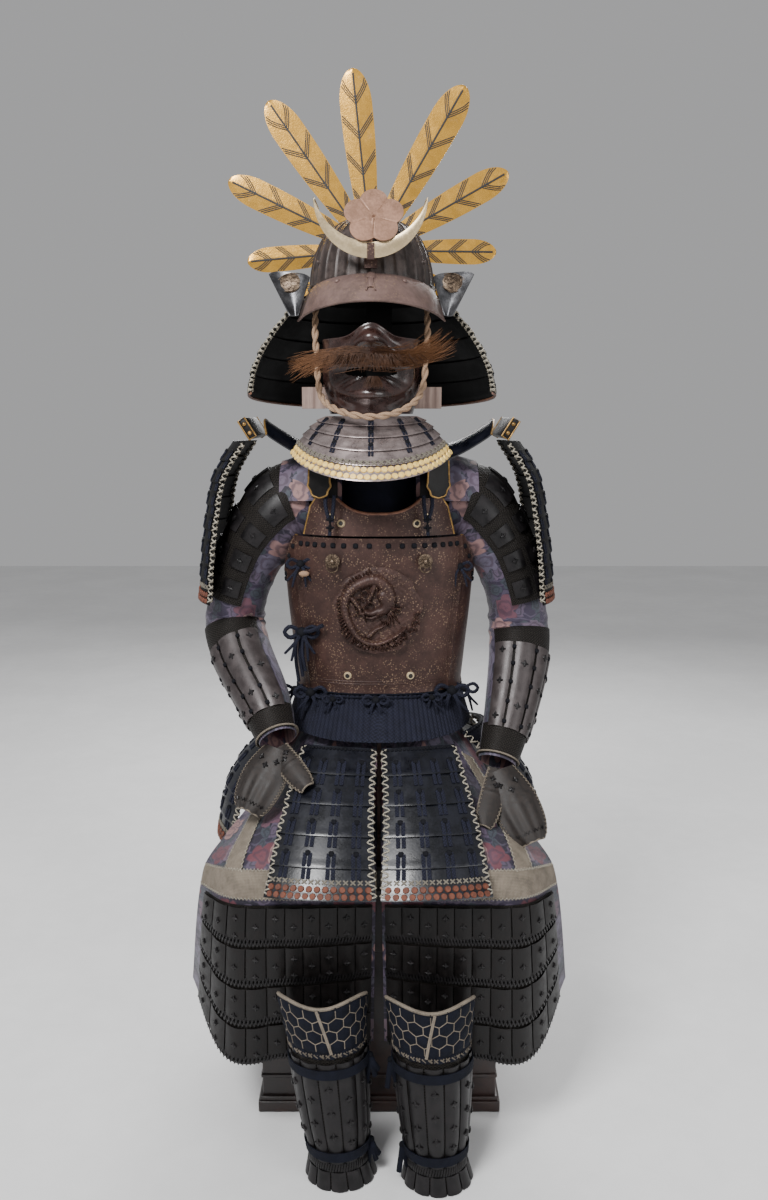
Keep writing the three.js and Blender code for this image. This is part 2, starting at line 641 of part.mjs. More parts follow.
/** The breast top: from side to side above the chest plate, with the neckline cut into it. */
function breastTopSurface(u, v) {
  const share = Math.abs(2 * u - 1);
  const turn = lerp(-49, 49, u);
  const shoulder = share > 0.8 ? lerp(1142, 1108, (share - 0.8) / 0.2) : 1142;
  const neckline = share < 0.62 ? 1098 + 42 * (share / 0.62) ** 2.2 : shoulder;
  return torsoPoint(turn, lerp(1059, Math.min(neckline, shoulder), v));
}

/** A shoulder strap on the wearer's left: across its width, and from the chest to the back. */
const STRAP = [
  { at: 0, y: -125, z: 1126 }, { at: 0.2, y: -112, z: 1172 }, { at: 0.5, y: -8, z: 1214 },
  { at: 0.8, y: 92, z: 1184 }, { at: 1, y: 116, z: 1142 },
];
function strapSurface(u, v) {
  const { y, z } = sectionAt(STRAP, v);
  return new THREE.Vector3(lerp(72, 116, u), y - (v < 0.5 ? 6 : -8) * (1 - Math.sin(v * Math.PI)), z);
}

/** A wing that stands on the strap's outer edge: outwards, and from front to back. */
function wingSurface(u, v) {
  const bow = (2 * v - 1) ** 2;
  return new THREE.Vector3(lerp(128, 210, u) - 10 * bow, lerp(-88, 62, v), 1216 + 44 * u ** 1.3 - 26 * bow);
}

/** Outline of a strap guard: straight sides and a foot of three lobes. */
function strapGuardOutline() {
  return [
    [-19, 34], [19, 36], [21, -6], [16, -20], [9, -22], [3, -30], [-4, -30], [-9, -22], [-17, -18], [-21, -6],
  ];
}

function buildCuirass() {
  piece("cuirass_front", wall(frontPlateSurface, { columns: 12, rows: 5, turn: 1 }), MATERIALS.russetIron);
  piece("cuirass_back", wall(backPlateSurface, { columns: 30, rows: 5, turn: 1 }), MATERIALS.russetIron);
  const columns = [0, 0.1, 0.19, 0.25, 0.32, 0.4, 0.5, 0.6, 0.68, 0.75, 0.81, 0.9, 1];
  piece("breast_top", wall(breastTopSurface, { columns, rows: 3, turn: 1 }), MATERIALS.russetIron);

  const roundel = dome(72, 12, 28, 4).rotateX(Math.PI).translate(-2, -TORSO[3].deep - PLATE - 0.8, 928);
  piece("medallion", roundel, MATERIALS.russetIron);

  for (const [name, side] of [["l", 1], ["r", -1]]) {
    const x = side * RING.x;
    const eyeY = -TORSO[3].deep - PLATE - RING.stand;
    const disk = new THREE.CylinderGeometry(13, 13, 3, 16).translate(x, -TORSO[3].deep - PLATE - 2.2, RING.z);
    const stalk = new THREE.CylinderGeometry(3.2, 3.2, RING.stand + 4.4, 10).translate(x, eyeY + 0.5, RING.z);
    const eye = new THREE.CylinderGeometry(5.2, 5.2, 4, 14).rotateZ(90 * DEG).translate(x, eyeY - 2, RING.z);
    const hole = new THREE.CylinderGeometry(RING.bore, RING.bore, 12, 12)
      .rotateZ(90 * DEG)
      .translate(x, eyeY - 2, RING.z);
    piece(`ring_boss_${name}`, cut(joined(disk, stalk, eye), hole), MATERIALS.brass);
    const ring = new THREE.TorusGeometry(RING.radius, RING.wire, 6, 20)
      .rotateX(90 * DEG)
      .translate(x, eyeY - 2, RING.z - RING.radius);
    piece(`chest_ring_${name}`, ring, MATERIALS.brass);
  }

  const strap = wall(strapSurface, { columns: 2, rows: 8, turn: 1, thick: 3 });
  pair("shoulder_strap", strap, MATERIALS.brownLacquer);
  const wing = wall(wingSurface, { columns: 4, rows: 6, turn: 1, thick: 3 });
  pair("shoulder_wing", wing, MATERIALS.brownLacquer);
  const guard = standingPlate(strapGuardOutline(), 2).rotateZ(24 * DEG).translate(103, -140, 1158);
  pair("strap_guard", guard, MATERIALS.gold);
}

/** A shallow dome on a flat disc, its axis along +Y and its crown at the top. */
function dome(radius, high, sides, rings) {
  const profile = [new THREE.Vector2(0, 0), new THREE.Vector2(radius, 0)];
  for (const t of steps(rings).slice(0, -1)) {
    const a = t * 90 * DEG;
    profile.push(new THREE.Vector2(radius * Math.cos(a), 2 + (high - 2) * Math.sin(a)));
  }
  profile.push(new THREE.Vector2(0, high));
  return new THREE.LatheGeometry(profile, sides);
}

/** The collar of the sleeves' vest, seen in the neck opening: round the front, and upwards. */
function collarSurface(u, v) {
  const turn = lerp(-68, 68, u) * DEG;
  const [wide, deep] = [lerp(104, 74, v), lerp(104, 66, v)];
  return new THREE.Vector3(wide * Math.sin(turn), -4 - deep * Math.cos(turn), lerp(1040, 1196, v));
}

// ---------------------------------------------------------------- arms
/** A point on an arm: its share of the length, the turn about it in degrees, and its lift. */
function armPoint(rows, at, turn, lift = 0) {
  const here = sectionAt(rows, at);
  const ahead = sectionAt(rows, Math.min(at + 0.01, 1));
  const behind = sectionAt(rows, Math.max(at - 0.01, 0));
  const along = new THREE.Vector3(ahead.x - behind.x, ahead.y - behind.y, ahead.z - behind.z).normalize();
  const out = new THREE.Vector3(0, 1, 0).cross(along).normalize();
  const side = Math.sign(rows[0].x);
  if (out.x * side < 0) out.negate();
  const front = along.clone().cross(out).normalize();
  if (front.y > 0) front.negate();
  const a = turn * DEG;
  return new THREE.Vector3(here.x, here.y, here.z)
    .addScaledVector(out, (here.wide + lift) * Math.cos(a))
    .addScaledVector(front, (here.deep + lift) * -Math.sin(a));
}

/** A tapering tongue from the wrist: its half width and dome come from named shares. */
function handPlate(from, to, faces, { wide, crown, taper }) {
  const [start, end] = [vector(from), vector(to)];
  const along = end.clone().sub(start);
  const up = vector(faces).normalize();
  const across = along.clone().cross(up).normalize();
  return (u, v) => {
    const opened = taper + (1 - taper) * Math.sin(Math.min(v * 1.9, 1) * 90 * DEG);
    const width = wide * opened * Math.sqrt(1 - 0.72 * v ** 5);
    const s = 2 * u - 1;
    return start.clone()
      .addScaledVector(along, v)
      .addScaledVector(across, width * s)
      .addScaledVector(up, crown * (1 - s * s - 0.7 * v ** 3));
  };
}

function buildArms() {
  for (const [name, rows, hand, side] of [["l", ARM_LEFT, HANDS.left, 1], ["r", ARM_RIGHT, HANDS.right, -1]]) {
    const sleeve = (u, v) => armPoint(rows, v, 360 * u);
    piece(`sleeve_${name}`, wall(sleeve, { columns: 12, rows: 13, thick: CLOTH, turn: side, closed: true }),
      MATERIALS.brocade);
    const { from, to, start, end, lift } = FOREARM;
    const splints = (u, v) => armPoint(rows, lerp(from, to, v), lerp(start, end, u), lift);
    piece(`forearm_guard_${name}`, wall(splints, { columns: 10, rows: 4, turn: side }), MATERIALS.russetIron);
    const mail = (u, v) =>
      armPoint(rows, lerp(ARM_MAIL.from, ARM_MAIL.to, v), lerp(ARM_MAIL.start, ARM_MAIL.end, u), ARM_MAIL.lift);
    const scales = lameRows(ARM_MAIL.plates, ARM_MAIL.step, 0.03);
    piece(`arm_plates_${name}`, wall(mail, { columns: 8, rows: scales, turn: side }), MATERIALS.mail);
    const back = handPlate(hand.wrist, hand.knuckle, hand.faces, HAND.back);
    const thumb = handPlate(hand.wrist, hand.thumb, hand.faces, HAND.thumb);
    const plates = [
      wall(back, { columns: 6, rows: 5, thick: HAND.thick, turn: -1 }),
      wall(thumb, { columns: 4, rows: 4, thick: HAND.thick, turn: -1 }),
    ];
    piece(`hand_guard_${name}`, joined(...plates), MATERIALS.brownLacquer);
  }
}

/** A shoulder guard on the wearer's left: from front to back, and from its top edge down. */
function shoulderGuardSurface(u, v) {
  const { x, z } = sectionAt(SHOULDER_GUARD, v);
  const turn = lerp(-GUARD_ARC.halfTurn, GUARD_ARC.halfTurn, u) * DEG;
  const narrow = lerp(0.9, 1, v);
  return new THREE.Vector3(
    x - GUARD_ARC.radius * (1 - Math.cos(turn)),
    GUARD_ARC.radius * narrow * Math.sin(turn),
    z,
  );
}

function buildShoulderGuards() {
  const { lames, step, outLeft, outRight } = GUARD_ARC;
  const guard = wall(shoulderGuardSurface, { columns: 8, rows: lameRows(lames, step), turn: 1 });
  piece("shoulder_guard_l", guard, MATERIALS.blackLacquer).position.x = outLeft;
  piece("shoulder_guard_r", mirrored(guard), MATERIALS.blackLacquer).position.x = outRight;
  const cap = block([-7, -92, -19], [7, 92, 19]).rotateY(-32 * DEG).translate(233, 0, 1246);
  pair("guard_cap", cap, MATERIALS.gold);
}

// ---------------------------------------------------------------- tassets
/** A tasset: from its inner to its outer edge, and from its top down to its hem. */
function tassetSurface({ topIn, topOut, hemIn, hemOut, topZ, hemZ, bulge }) {
  return (u, v) => {
    const top = topIn.map((a, i) => lerp(a, topOut[i], u));
    const hem = hemIn.map((a, i) => lerp(a, hemOut[i], u));
    const p = new THREE.Vector3(lerp(top[0], hem[0], v), lerp(top[1], hem[1], v), lerp(topZ, hemZ, v));
    const outward = new THREE.Vector3(
      (topIn[0] + topOut[0] + hemIn[0] + hemOut[0]) / 4,
      (topIn[1] + topOut[1] + hemIn[1] + hemOut[1]) / 4,
      0,
    ).normalize();
    const swell = bulge * Math.sin(v * Math.PI) + bulge * (1 - (2 * u - 1) ** 2);
    return p.addScaledVector(outward, swell).add(new THREE.Vector3(0, 0, 0.3 * swell));
  };
}

/** The lacing that hangs the tassets from the cuirass: once round, from the top down. */
function cordsSurface(u, v) {
  const turn = u * 360;
  const top = torsoPoint(turn > 180 ? turn - 360 : turn, CUIRASS.waistZ);
  const front = Math.max(0, Math.cos(turn * DEG));
  const spread = new THREE.Vector3(1 + 0.14 * v, 1 + (0.2 + 0.42 * front) * v, 1);
  top.multiply(spread).multiply(new THREE.Vector3(0.985, 0.985, 1));
  top.z = lerp(TASSET.cordsTop, TASSET.cordsFoot, v);
  return top;
}

function buildTassets() {
  const lacing = wall(cordsSurface, { columns: 28, rows: 2, thick: CLOTH, turn: -1, closed: true });
  piece("tasset_cords", lacing, MATERIALS.navyCord);
  for (const tasset of TASSETS) {
    const rows = lameRows(TASSET.lames, TASSET.step, 0.03);
    const panel = wall(tassetSurface(tasset), { columns: 4, rows, turn: -1 });
    if (tasset.pair) pair(tasset.name, panel, MATERIALS.blackLacquer);
    else piece(tasset.name, panel, MATERIALS.blackLacquer);
  }
}

// ---------------------------------------------------------------- thigh apron
// Shares of the apron's length at its belt, seat, thigh, knee and hem.
const APRON_LENGTH = { belt: 0, seat: 0.17, thigh: 0.38, knee: 0.54, hem: 1 };

/** One half of the apron, on the wearer's left: outwards from its inner edge, and down. */
function apronSurface(u, v) {
  const s = sectionAt(APRON, u);
  const rows = Object.entries(APRON_LENGTH).map(([line, at]) => ({
    at, x: s[`${line}X`], y: s[`${line}Y`], z: s[`${line}Z`],
  }));
  const p = sectionAt(rows, v);
  return new THREE.Vector3(p.x, p.y, p.z);
}

function buildApron() {
  const cloth = wall(apronSurface, {
    columns: [0, 0.2, 0.4, 0.6, 0.8, 0.9, 1],
    rows: [0, 0.17, 0.3, 0.42, 0.5, 0.56, 0.68, 0.84, 1],
    thick: CLOTH,
    turn: 1,
  });
  pair("thigh_cloth", cloth, MATERIALS.brocade);
  const { rows, innerAt, outerAt, top, lift, step } = APRON_ROWS;
  const plates = (u, v) => {
    const at = lerp(innerAt, outerAt, u);
    const down = lerp(top, 0.985 - 0.05 * u ** 6, v);
    const n = normalAt(apronSurface, at, down, -1, false);
    const p = apronSurface(at, down);
    if (n.y > 0) n.negate();
    return p.addScaledVector(n, lift + CLOTH);
  };
  const panel = wall(plates, { columns: 10, rows: lameRows(rows, step, 0.03), turn: -1 });
  pair("thigh_plates", panel, MATERIALS.brownLacquer);
}

// ---------------------------------------------------------------- shin guards
/** A shin guard: round the front, and from the floor up. */
function shinSurface({ footX, kneeX, y }) {
  return (u, v) => {
    const { wide, deep, z } = sectionAt(SHIN, v);
    const turn = lerp(-SHIN_TURN, SHIN_TURN, u) * DEG;
    const x = lerp(footX, kneeX, z / KNEE.top);
    return new THREE.Vector3(x + wide * Math.sin(turn), y - deep * Math.cos(turn), z);
  };
}

/** A knee guard above the shin: round the front, and from its foot to its wavy top edge. */
function kneeSurface({ footX, kneeX, y }) {
  return (u, v) => {
    const s = 2 * u - 1;
    const turn = s * KNEE.halfTurn * DEG;
    const top = KNEE.top + KNEE.wave * Math.sin(Math.abs(s) * Math.PI) ** 2 - KNEE.fall * s ** 6;
    const z = lerp(KNEE.foot, top, v);
    const grow = KNEE.flare * v;
    const x = lerp(footX, kneeX, z / KNEE.top);
    return new THREE.Vector3(
      x + (KNEE.wide + grow) * Math.sin(turn),
      y - (KNEE.deep + grow) * Math.cos(turn),
      z,
    );
  };
}

function buildShins() {
  for (const [name, shin] of [["l", SHINS.left], ["r", SHINS.right]]) {
    const rows = [{ at: 0, lift: 2 }, { at: 0.18, lift: 0 }, { at: 0.2, lift: 0 }, 0.4, 0.6, 0.8, 1];
    const splints = wall(shinSurface(shin), { columns: 12, rows, turn: 1 });
    piece(`shin_guard_${name}`, splints, MATERIALS.russetIron);
    const quilt = wall(kneeSurface(shin), { columns: 12, rows: 4, thick: KNEE.thick, turn: 1 });
    piece(`knee_guard_${name}`, quilt, MATERIALS.navyCord);
  }
}

buildChest();
buildStand();
const head = new THREE.Group();
head.position.x = HEAD_X;
armour.add(head);
buildHelmet(head);
buildFace(head);
buildCuirass();
const collar = wall(collarSurface, { columns: 14, rows: 3, thick: CLOTH, turn: 1 });
piece("collar_cloth", collar, MATERIALS.navyCord);
buildArms();
buildShoulderGuards();
buildTassets();
buildApron();
buildShins();

// The origin is the middle of the armour's box, on the floor.
const suit = new THREE.Group();
suit.add(armour);
const box = new THREE.Box3().setFromObject(armour, true);
const middle = box.getCenter(new THREE.Vector3());
armour.position.set(-middle.x, -middle.y, -box.min.z);

export default suit;
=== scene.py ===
"""A samurai armour set up as if seated on its storage chest: the visual model.

Sizes are in millimetres, in a frame whose origin is on the floor under the stand's post, and every
finished mesh is brought to the model's own frame in metres.
"""
import logging
import random
from dataclasses import dataclass, field
from enum import Enum
from math import acos, asin, copysign, cos, degrees, exp, hypot, pi, radians, sin, sqrt, tau
from typing import Callable, Iterable, Sequence

import bmesh
import bpy
from mathutils import Matrix, Vector


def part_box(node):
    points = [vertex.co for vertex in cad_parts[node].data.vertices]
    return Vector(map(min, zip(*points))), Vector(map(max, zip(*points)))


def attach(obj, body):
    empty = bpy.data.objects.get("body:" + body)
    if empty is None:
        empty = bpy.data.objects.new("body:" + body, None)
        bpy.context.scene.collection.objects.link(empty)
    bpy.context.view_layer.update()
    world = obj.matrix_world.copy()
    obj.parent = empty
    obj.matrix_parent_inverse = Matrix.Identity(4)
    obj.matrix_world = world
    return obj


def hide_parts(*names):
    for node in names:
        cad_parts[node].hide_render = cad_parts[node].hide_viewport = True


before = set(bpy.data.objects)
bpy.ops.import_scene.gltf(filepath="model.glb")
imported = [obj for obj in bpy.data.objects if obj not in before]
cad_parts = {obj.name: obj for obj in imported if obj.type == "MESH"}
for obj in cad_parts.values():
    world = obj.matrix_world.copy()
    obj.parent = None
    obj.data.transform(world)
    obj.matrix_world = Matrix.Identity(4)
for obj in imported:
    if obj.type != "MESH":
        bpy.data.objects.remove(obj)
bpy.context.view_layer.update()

LOG = logging.getLogger("armour")
MM = 0.001
CHEST_FRONT = -223.0

Surface = Callable[[float, float], Vector]
Lift = Callable[[float, float], float]
Colour = tuple[float, float, float]
Row = dict[str, float]


# ------------------------------------------------------------------ numbers
def frame_origin() -> Vector:
    """The stand's foot in the model's frame, in millimetres."""
    low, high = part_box("chest_body")
    return Vector(((low[0] + high[0]) / 2 / MM, low[1] / MM - CHEST_FRONT, 0.0))


def shares(count: int) -> list[float]:
    """Even steps from 0 to 1, both included."""
    return [k / count for k in range(count + 1)]


def circle(count: int) -> list[float]:
    """Angles once round, both ends included."""
    return [tau * t for t in shares(count)]


def clamp(t: float) -> float:
    """A share kept between 0 and 1."""
    return min(max(t, 0.0), 1.0)


def rotation(angle: float, axis: str) -> Matrix:
    """A turn about an axis, in degrees."""
    return Matrix.Rotation(radians(angle), 4, axis)


def length(line: Sequence[Vector]) -> float:
    """The length of a line through points."""
    return sum((b - a).length for a, b in zip(line, line[1:]))


def lerp(a: float, b: float, t: float) -> float:
    """The value a share t of the way from a to b."""
    return a + (b - a) * t


def bump(x: float, middle: float, reach: float) -> float:
    """A smooth hill of height 1 at its middle."""
    return exp(-(((x - middle) / reach) ** 2))


def table(columns: str, *rows: tuple[float, ...]) -> list[Row]:
    """Rows of numbers under named columns.

    Args:
        columns: The column names, with spaces between.
        rows: One tuple of numbers for each row.

    Returns:
        One dictionary for each row.
    """
    return [dict(zip(columns.split(), row)) for row in rows]


def section(rows: list[Row], at: float) -> Row:
    """A table's row at any station, on a smooth curve through each column.

    Args:
        rows: A table with a column named at, rising.
        at: The station.

    Returns:
        Every other column's value there.
    """
    last = len(rows) - 1
    i = 0
    while i < last - 1 and at > rows[i + 1]["at"]:
        i += 1
    a, b = rows[i], rows[i + 1]
    before, after = rows[max(i - 1, 0)], rows[min(i + 2, last)]
    span = b["at"] - a["at"]
    t = (at - a["at"]) / span
    weights = (2 * t**3 - 3 * t**2 + 1, t**3 - 2 * t**2 + t, 3 * t**2 - 2 * t**3, t**3 - t**2)
    found = {}
    for key in a:
        if key == "at":
            continue
        slope_a = (b[key] - before[key]) / (b["at"] - before["at"])
        slope_b = (after[key] - a[key]) / (after["at"] - a["at"])
        parts = (a[key], span * slope_a, b[key], span * slope_b)
        found[key] = sum(w * p for w, p in zip(weights, parts))
    return found


def spline(points: Sequence[Sequence[float]], count: int) -> list[Vector]:
    """Points along a smooth curve through the given ones.

    Args:
        points: The points that the curve passes through.
        count: How many steps the result has.

    Returns:
        count + 1 points.
    """
    rows = []
    reach = 0.0
    for i, point in enumerate(points):
        if i:
            reach += (Vector(point) - Vector(points[i - 1])).length
        rows.append({"at": reach, "x": point[0], "y": point[1], "z": point[2]})
    found = [section(rows, reach * t) for t in shares(count)]
    return [Vector((p["x"], p["y"], p["z"])) for p in found]


# ------------------------------------------------------------------ surfaces
class Skin:
    """A surface of the armour, and which of its sides faces out."""

    def __init__(self, surface: Surface, inside: Sequence[float]) -> None:
        """Keeps the surface and finds its outer side.

        Args:
            surface: Gives a point for two shares, from 0 to 1.
            inside: A point on the inner side of the surface's middle.
        """
        self.surface = surface
        self.sign = 1.0
        middle = self.normal(0.5, 0.5)
        if middle.dot(surface(0.5, 0.5) - Vector(inside)) < 0:
            self.sign = -1.0

    def normal(self, u: float, v: float) -> Vector:
        """The outward direction at a place on the surface."""
        d = 0.004
        across = self.surface(u + d, v) - self.surface(u - d, v)
        along = self.surface(u, min(v + d, 1.0)) - self.surface(u, max(v - d, 0.0))
        return across.cross(along).normalized() * self.sign

    def point(self, u: float, v: float, lift: float = 0.0) -> Vector:
        """A point at a height above the surface."""
        return self.surface(u, v) + self.normal(u, v) * lift

    def place(self, u: float, v: float, lift: float = 0.0) -> Matrix:
        """A place above the surface: its Z points out and its Y points against v."""
        out = self.normal(u, v)
        up = self.surface(u, max(v - 0.004, 0.0)) - self.surface(u, min(v + 0.004, 1.0))
        up = (up - out * up.dot(out)).normalized()
        right = up.cross(out)
        return Matrix.Translation(self.point(u, v, lift)) @ Matrix((right, up, out)).transposed().to_4x4()

    def width(self, v: float, u0: float = 0.0, u1: float = 1.0, count: int = 16) -> float:
        """The surface's length across, between two shares."""
        return length([self.surface(lerp(u0, u1, t), v) for t in shares(count)])

    def height(self, u: float, v0: float = 0.0, v1: float = 1.0, count: int = 16) -> float:
        """The surface's length along, between two shares."""
        return length([self.surface(u, lerp(v0, v1, t)) for t in shares(count)])

    def baked(self, columns: int, rows: int) -> "Skin":
        """The same surface read from a grid of its points, for a slow one."""
        grid = [[self.surface(u, v) for v in shares(rows)] for u in shares(columns)]

        def surface(u: float, v: float) -> Vector:
            """A point between the grid's nearest four."""
            x, y = u * columns, v * rows
            i = min(max(int(x), 0), columns - 1)
            j = min(max(int(y), 0), rows - 1)
            low = grid[i][j].lerp(grid[i][j + 1], y - j)
            return low.lerp(grid[i + 1][j].lerp(grid[i + 1][j + 1], y - j), x - i)
        other = Skin.__new__(Skin)
        other.surface, other.sign = surface, self.sign
        return other


# ------------------------------------------------------------------ finishes
class Pattern(Enum):
    """How a finish's two colours and its relief are laid out."""

    LACQUER = "lacquer"
    SPECKLE = "speckle"
    LEAF = "leaf"
    METAL = "metal"
    BRAID = "braid"
    TWIST = "twist"
    WEAVE = "weave"
    BROCADE = "brocade"
    MAIL = "mail"
    HAIR = "hair"
    GRAIN = "grain"
    FLOOR = "floor"


@dataclass(frozen=True)
class Finish:
    """One material of the armour."""

    name: str
    slot: str
    dark: Colour
    light: Colour
    roughness: float
    pattern: Pattern
    metallic: float = 0.0
    coat: float = 0.0
    sheen: float = 0.0
    scale: float = 60.0
    relief: float = 0.2
    shine: float = 0.5


RUSSET = Finish("russet iron", "russet_iron", (0.028, 0.013, 0.0105), (0.06, 0.029, 0.023), 0.5,
                Pattern.SPECKLE, metallic=0.2, scale=260, relief=0.3, shine=0.35)
HELMET_IRON = Finish("helmet iron", "russet_iron", (0.022, 0.015, 0.013), (0.075, 0.055, 0.049), 0.45,
                     Pattern.LACQUER, metallic=0.3, scale=70)
PEAK_IRON = Finish("peak iron", "russet_iron", (0.1, 0.064, 0.055), (0.19, 0.122, 0.107), 0.5,
                   Pattern.SPECKLE, metallic=0.3, scale=200, relief=0.25)
LAME_IRON = Finish("satin iron", "russet_iron", (0.22, 0.18, 0.175), (0.38, 0.315, 0.305), 0.34,
                   Pattern.LACQUER, metallic=0.7, scale=40)
SPLINT_IRON = Finish("dark iron", "russet_iron", (0.034, 0.027, 0.027), (0.066, 0.054, 0.054), 0.45,
                     Pattern.LACQUER, metallic=0.25, scale=50, relief=0.25)
SHIN_IRON = Finish("shin lacquer", "russet_iron", (0.003, 0.0025, 0.003), (0.013, 0.011, 0.012), 0.45,
                   Pattern.LACQUER, metallic=0.1, scale=50, relief=0.25, shine=0.35)
RUST_RIM = Finish("rust rim", "russet_iron", (0.09, 0.032, 0.017), (0.2, 0.085, 0.045), 0.5, Pattern.LACQUER,
                  scale=90)
BLACK = Finish("black lacquer", "black_lacquer", (0.002, 0.0025, 0.0045), (0.006, 0.007, 0.013), 0.34,
               Pattern.LACQUER, coat=0.12, scale=30, relief=0.2)
# A darker copy of the black lacquer: painted shade for the guards' shaded insides, the bowl's inside and the
# stand's post.
SHADE_BLACK = Finish("black lacquer darkened as painted shade", "black_lacquer", (0.001, 0.001, 0.0012), (0.0025, 0.002, 0.002),
                    0.5, Pattern.LACQUER, scale=30, relief=0.2, shine=0.15)
BROWN = Finish("brown lacquer", "brown_lacquer", (0.0015, 0.001, 0.001), (0.006, 0.0042, 0.004), 0.5,
               Pattern.LACQUER, scale=60, relief=0.3, shine=0.3)
GLOVE = Finish("glove leather", "brown_lacquer", (0.008, 0.0055, 0.0045), (0.024, 0.017, 0.014), 0.6,
               Pattern.LACQUER, scale=120, relief=0.35)
MASK_LACQUER = Finish("mask lacquer", "brown_lacquer", (0.014, 0.006, 0.005), (0.045, 0.02, 0.016), 0.3,
                      Pattern.LACQUER, coat=0.3, scale=30, relief=0.2)
GOLD = Finish("gold leaf", "gold", (0.3, 0.15, 0.018), (0.66, 0.36, 0.06), 0.42, Pattern.LEAF, metallic=0.55,
              scale=36)
GILT = Finish("gilt edge", "gold", (0.16, 0.09, 0.025), (0.42, 0.25, 0.08), 0.4, Pattern.METAL, metallic=0.6,
              scale=90)
# Near black: the ink of the feather markings, and painted shade inside the lacing holes.
INK_AND_HOLE_SHADE = Finish("feather ink", "gold", (0.005, 0.0035, 0.003), (0.012, 0.009, 0.007), 0.6, Pattern.LACQUER,
             scale=80)
BRASS = Finish("satin brass", "brass", (0.44, 0.34, 0.2), (0.62, 0.49, 0.3), 0.36, Pattern.METAL,
               metallic=0.5, scale=30)
BOSS = Finish("old brass", "brass", (0.05, 0.034, 0.024), (0.22, 0.16, 0.11), 0.4, Pattern.METAL,
              metallic=0.75, scale=200)
COPPER = Finish("satin copper", "copper", (0.19, 0.1, 0.062), (0.32, 0.175, 0.115), 0.5, Pattern.METAL,
                metallic=0.35, scale=30)
DISC_COPPER = Finish("copper disc", "copper", (0.08, 0.022, 0.011), (0.19, 0.06, 0.031), 0.7, Pattern.METAL,
                     metallic=0.15, scale=120)
DISC_GOLD = Finish("gold disc", "gold", (0.72, 0.47, 0.11), (0.98, 0.72, 0.24), 0.5, Pattern.METAL,
                   metallic=0.15, scale=120)
STEEL = Finish("dull steel", "brass", (0.05, 0.05, 0.054), (0.15, 0.15, 0.158), 0.36, Pattern.METAL,
               metallic=0.8, scale=40)
NAVY = Finish("navy cord", "navy_cord", (0.0016, 0.0018, 0.004), (0.013, 0.0145, 0.03), 0.85, Pattern.BRAID,
              scale=260, relief=0.35, shine=0.25)
NAVY_CLOTH = Finish("navy cloth", "navy_cord", (0.001, 0.0014, 0.0032), (0.005, 0.0065, 0.015), 0.85,
                    Pattern.WEAVE, scale=700, relief=0.2, shine=0.2)
WHITE_CORD = Finish("pale cord", "rope", (0.13, 0.115, 0.09), (0.42, 0.385, 0.31), 0.75, Pattern.BRAID,
                    scale=300, relief=0.3)
TAN_ROPE = Finish("tan rope", "rope", (0.2, 0.115, 0.07), (0.5, 0.34, 0.22), 0.85, Pattern.TWIST, scale=130,
                  relief=0.8)
HEMP = Finish("hemp band", "rope", (0.08, 0.066, 0.05), (0.24, 0.2, 0.155), 0.9, Pattern.WEAVE, scale=420,
              relief=0.4)
BROCADE = Finish("flowered brocade", "brocade", (0.008, 0.006, 0.016), (0.075, 0.06, 0.1), 0.62,
                 Pattern.BROCADE, sheen=0.15, scale=19, relief=0.25)
MAIL = Finish("iron mail", "mail", (0.0015, 0.001, 0.001), (0.022, 0.018, 0.015), 0.55, Pattern.MAIL,
              metallic=0.3, scale=190, relief=1.2, shine=0.3)
PLATE = Finish("small plates", "mail", (0.003, 0.0026, 0.003), (0.012, 0.01, 0.011), 0.45, Pattern.LACQUER,
               metallic=0.15, scale=50, shine=0.35)
FUR = Finish("ginger hair", "fur", (0.02, 0.0065, 0.0022), (0.15, 0.066, 0.027), 0.65, Pattern.HAIR,
             scale=60, shine=0.3)
WOOD = Finish("planed wood", "wood", (0.17, 0.11, 0.09), (0.36, 0.26, 0.22), 0.6, Pattern.GRAIN, scale=12,
              relief=0.2)
CHEST = Finish("chest lacquer", "chest_lacquer", (0.008, 0.0035, 0.003), (0.032, 0.014, 0.011), 0.42,
               Pattern.LACQUER, coat=0.15, scale=14, relief=0.3)
FLOOR = Finish("studio floor", "none", (0.7, 0.7, 0.7), (0.76, 0.76, 0.76), 0.85, Pattern.FLOOR, scale=2)


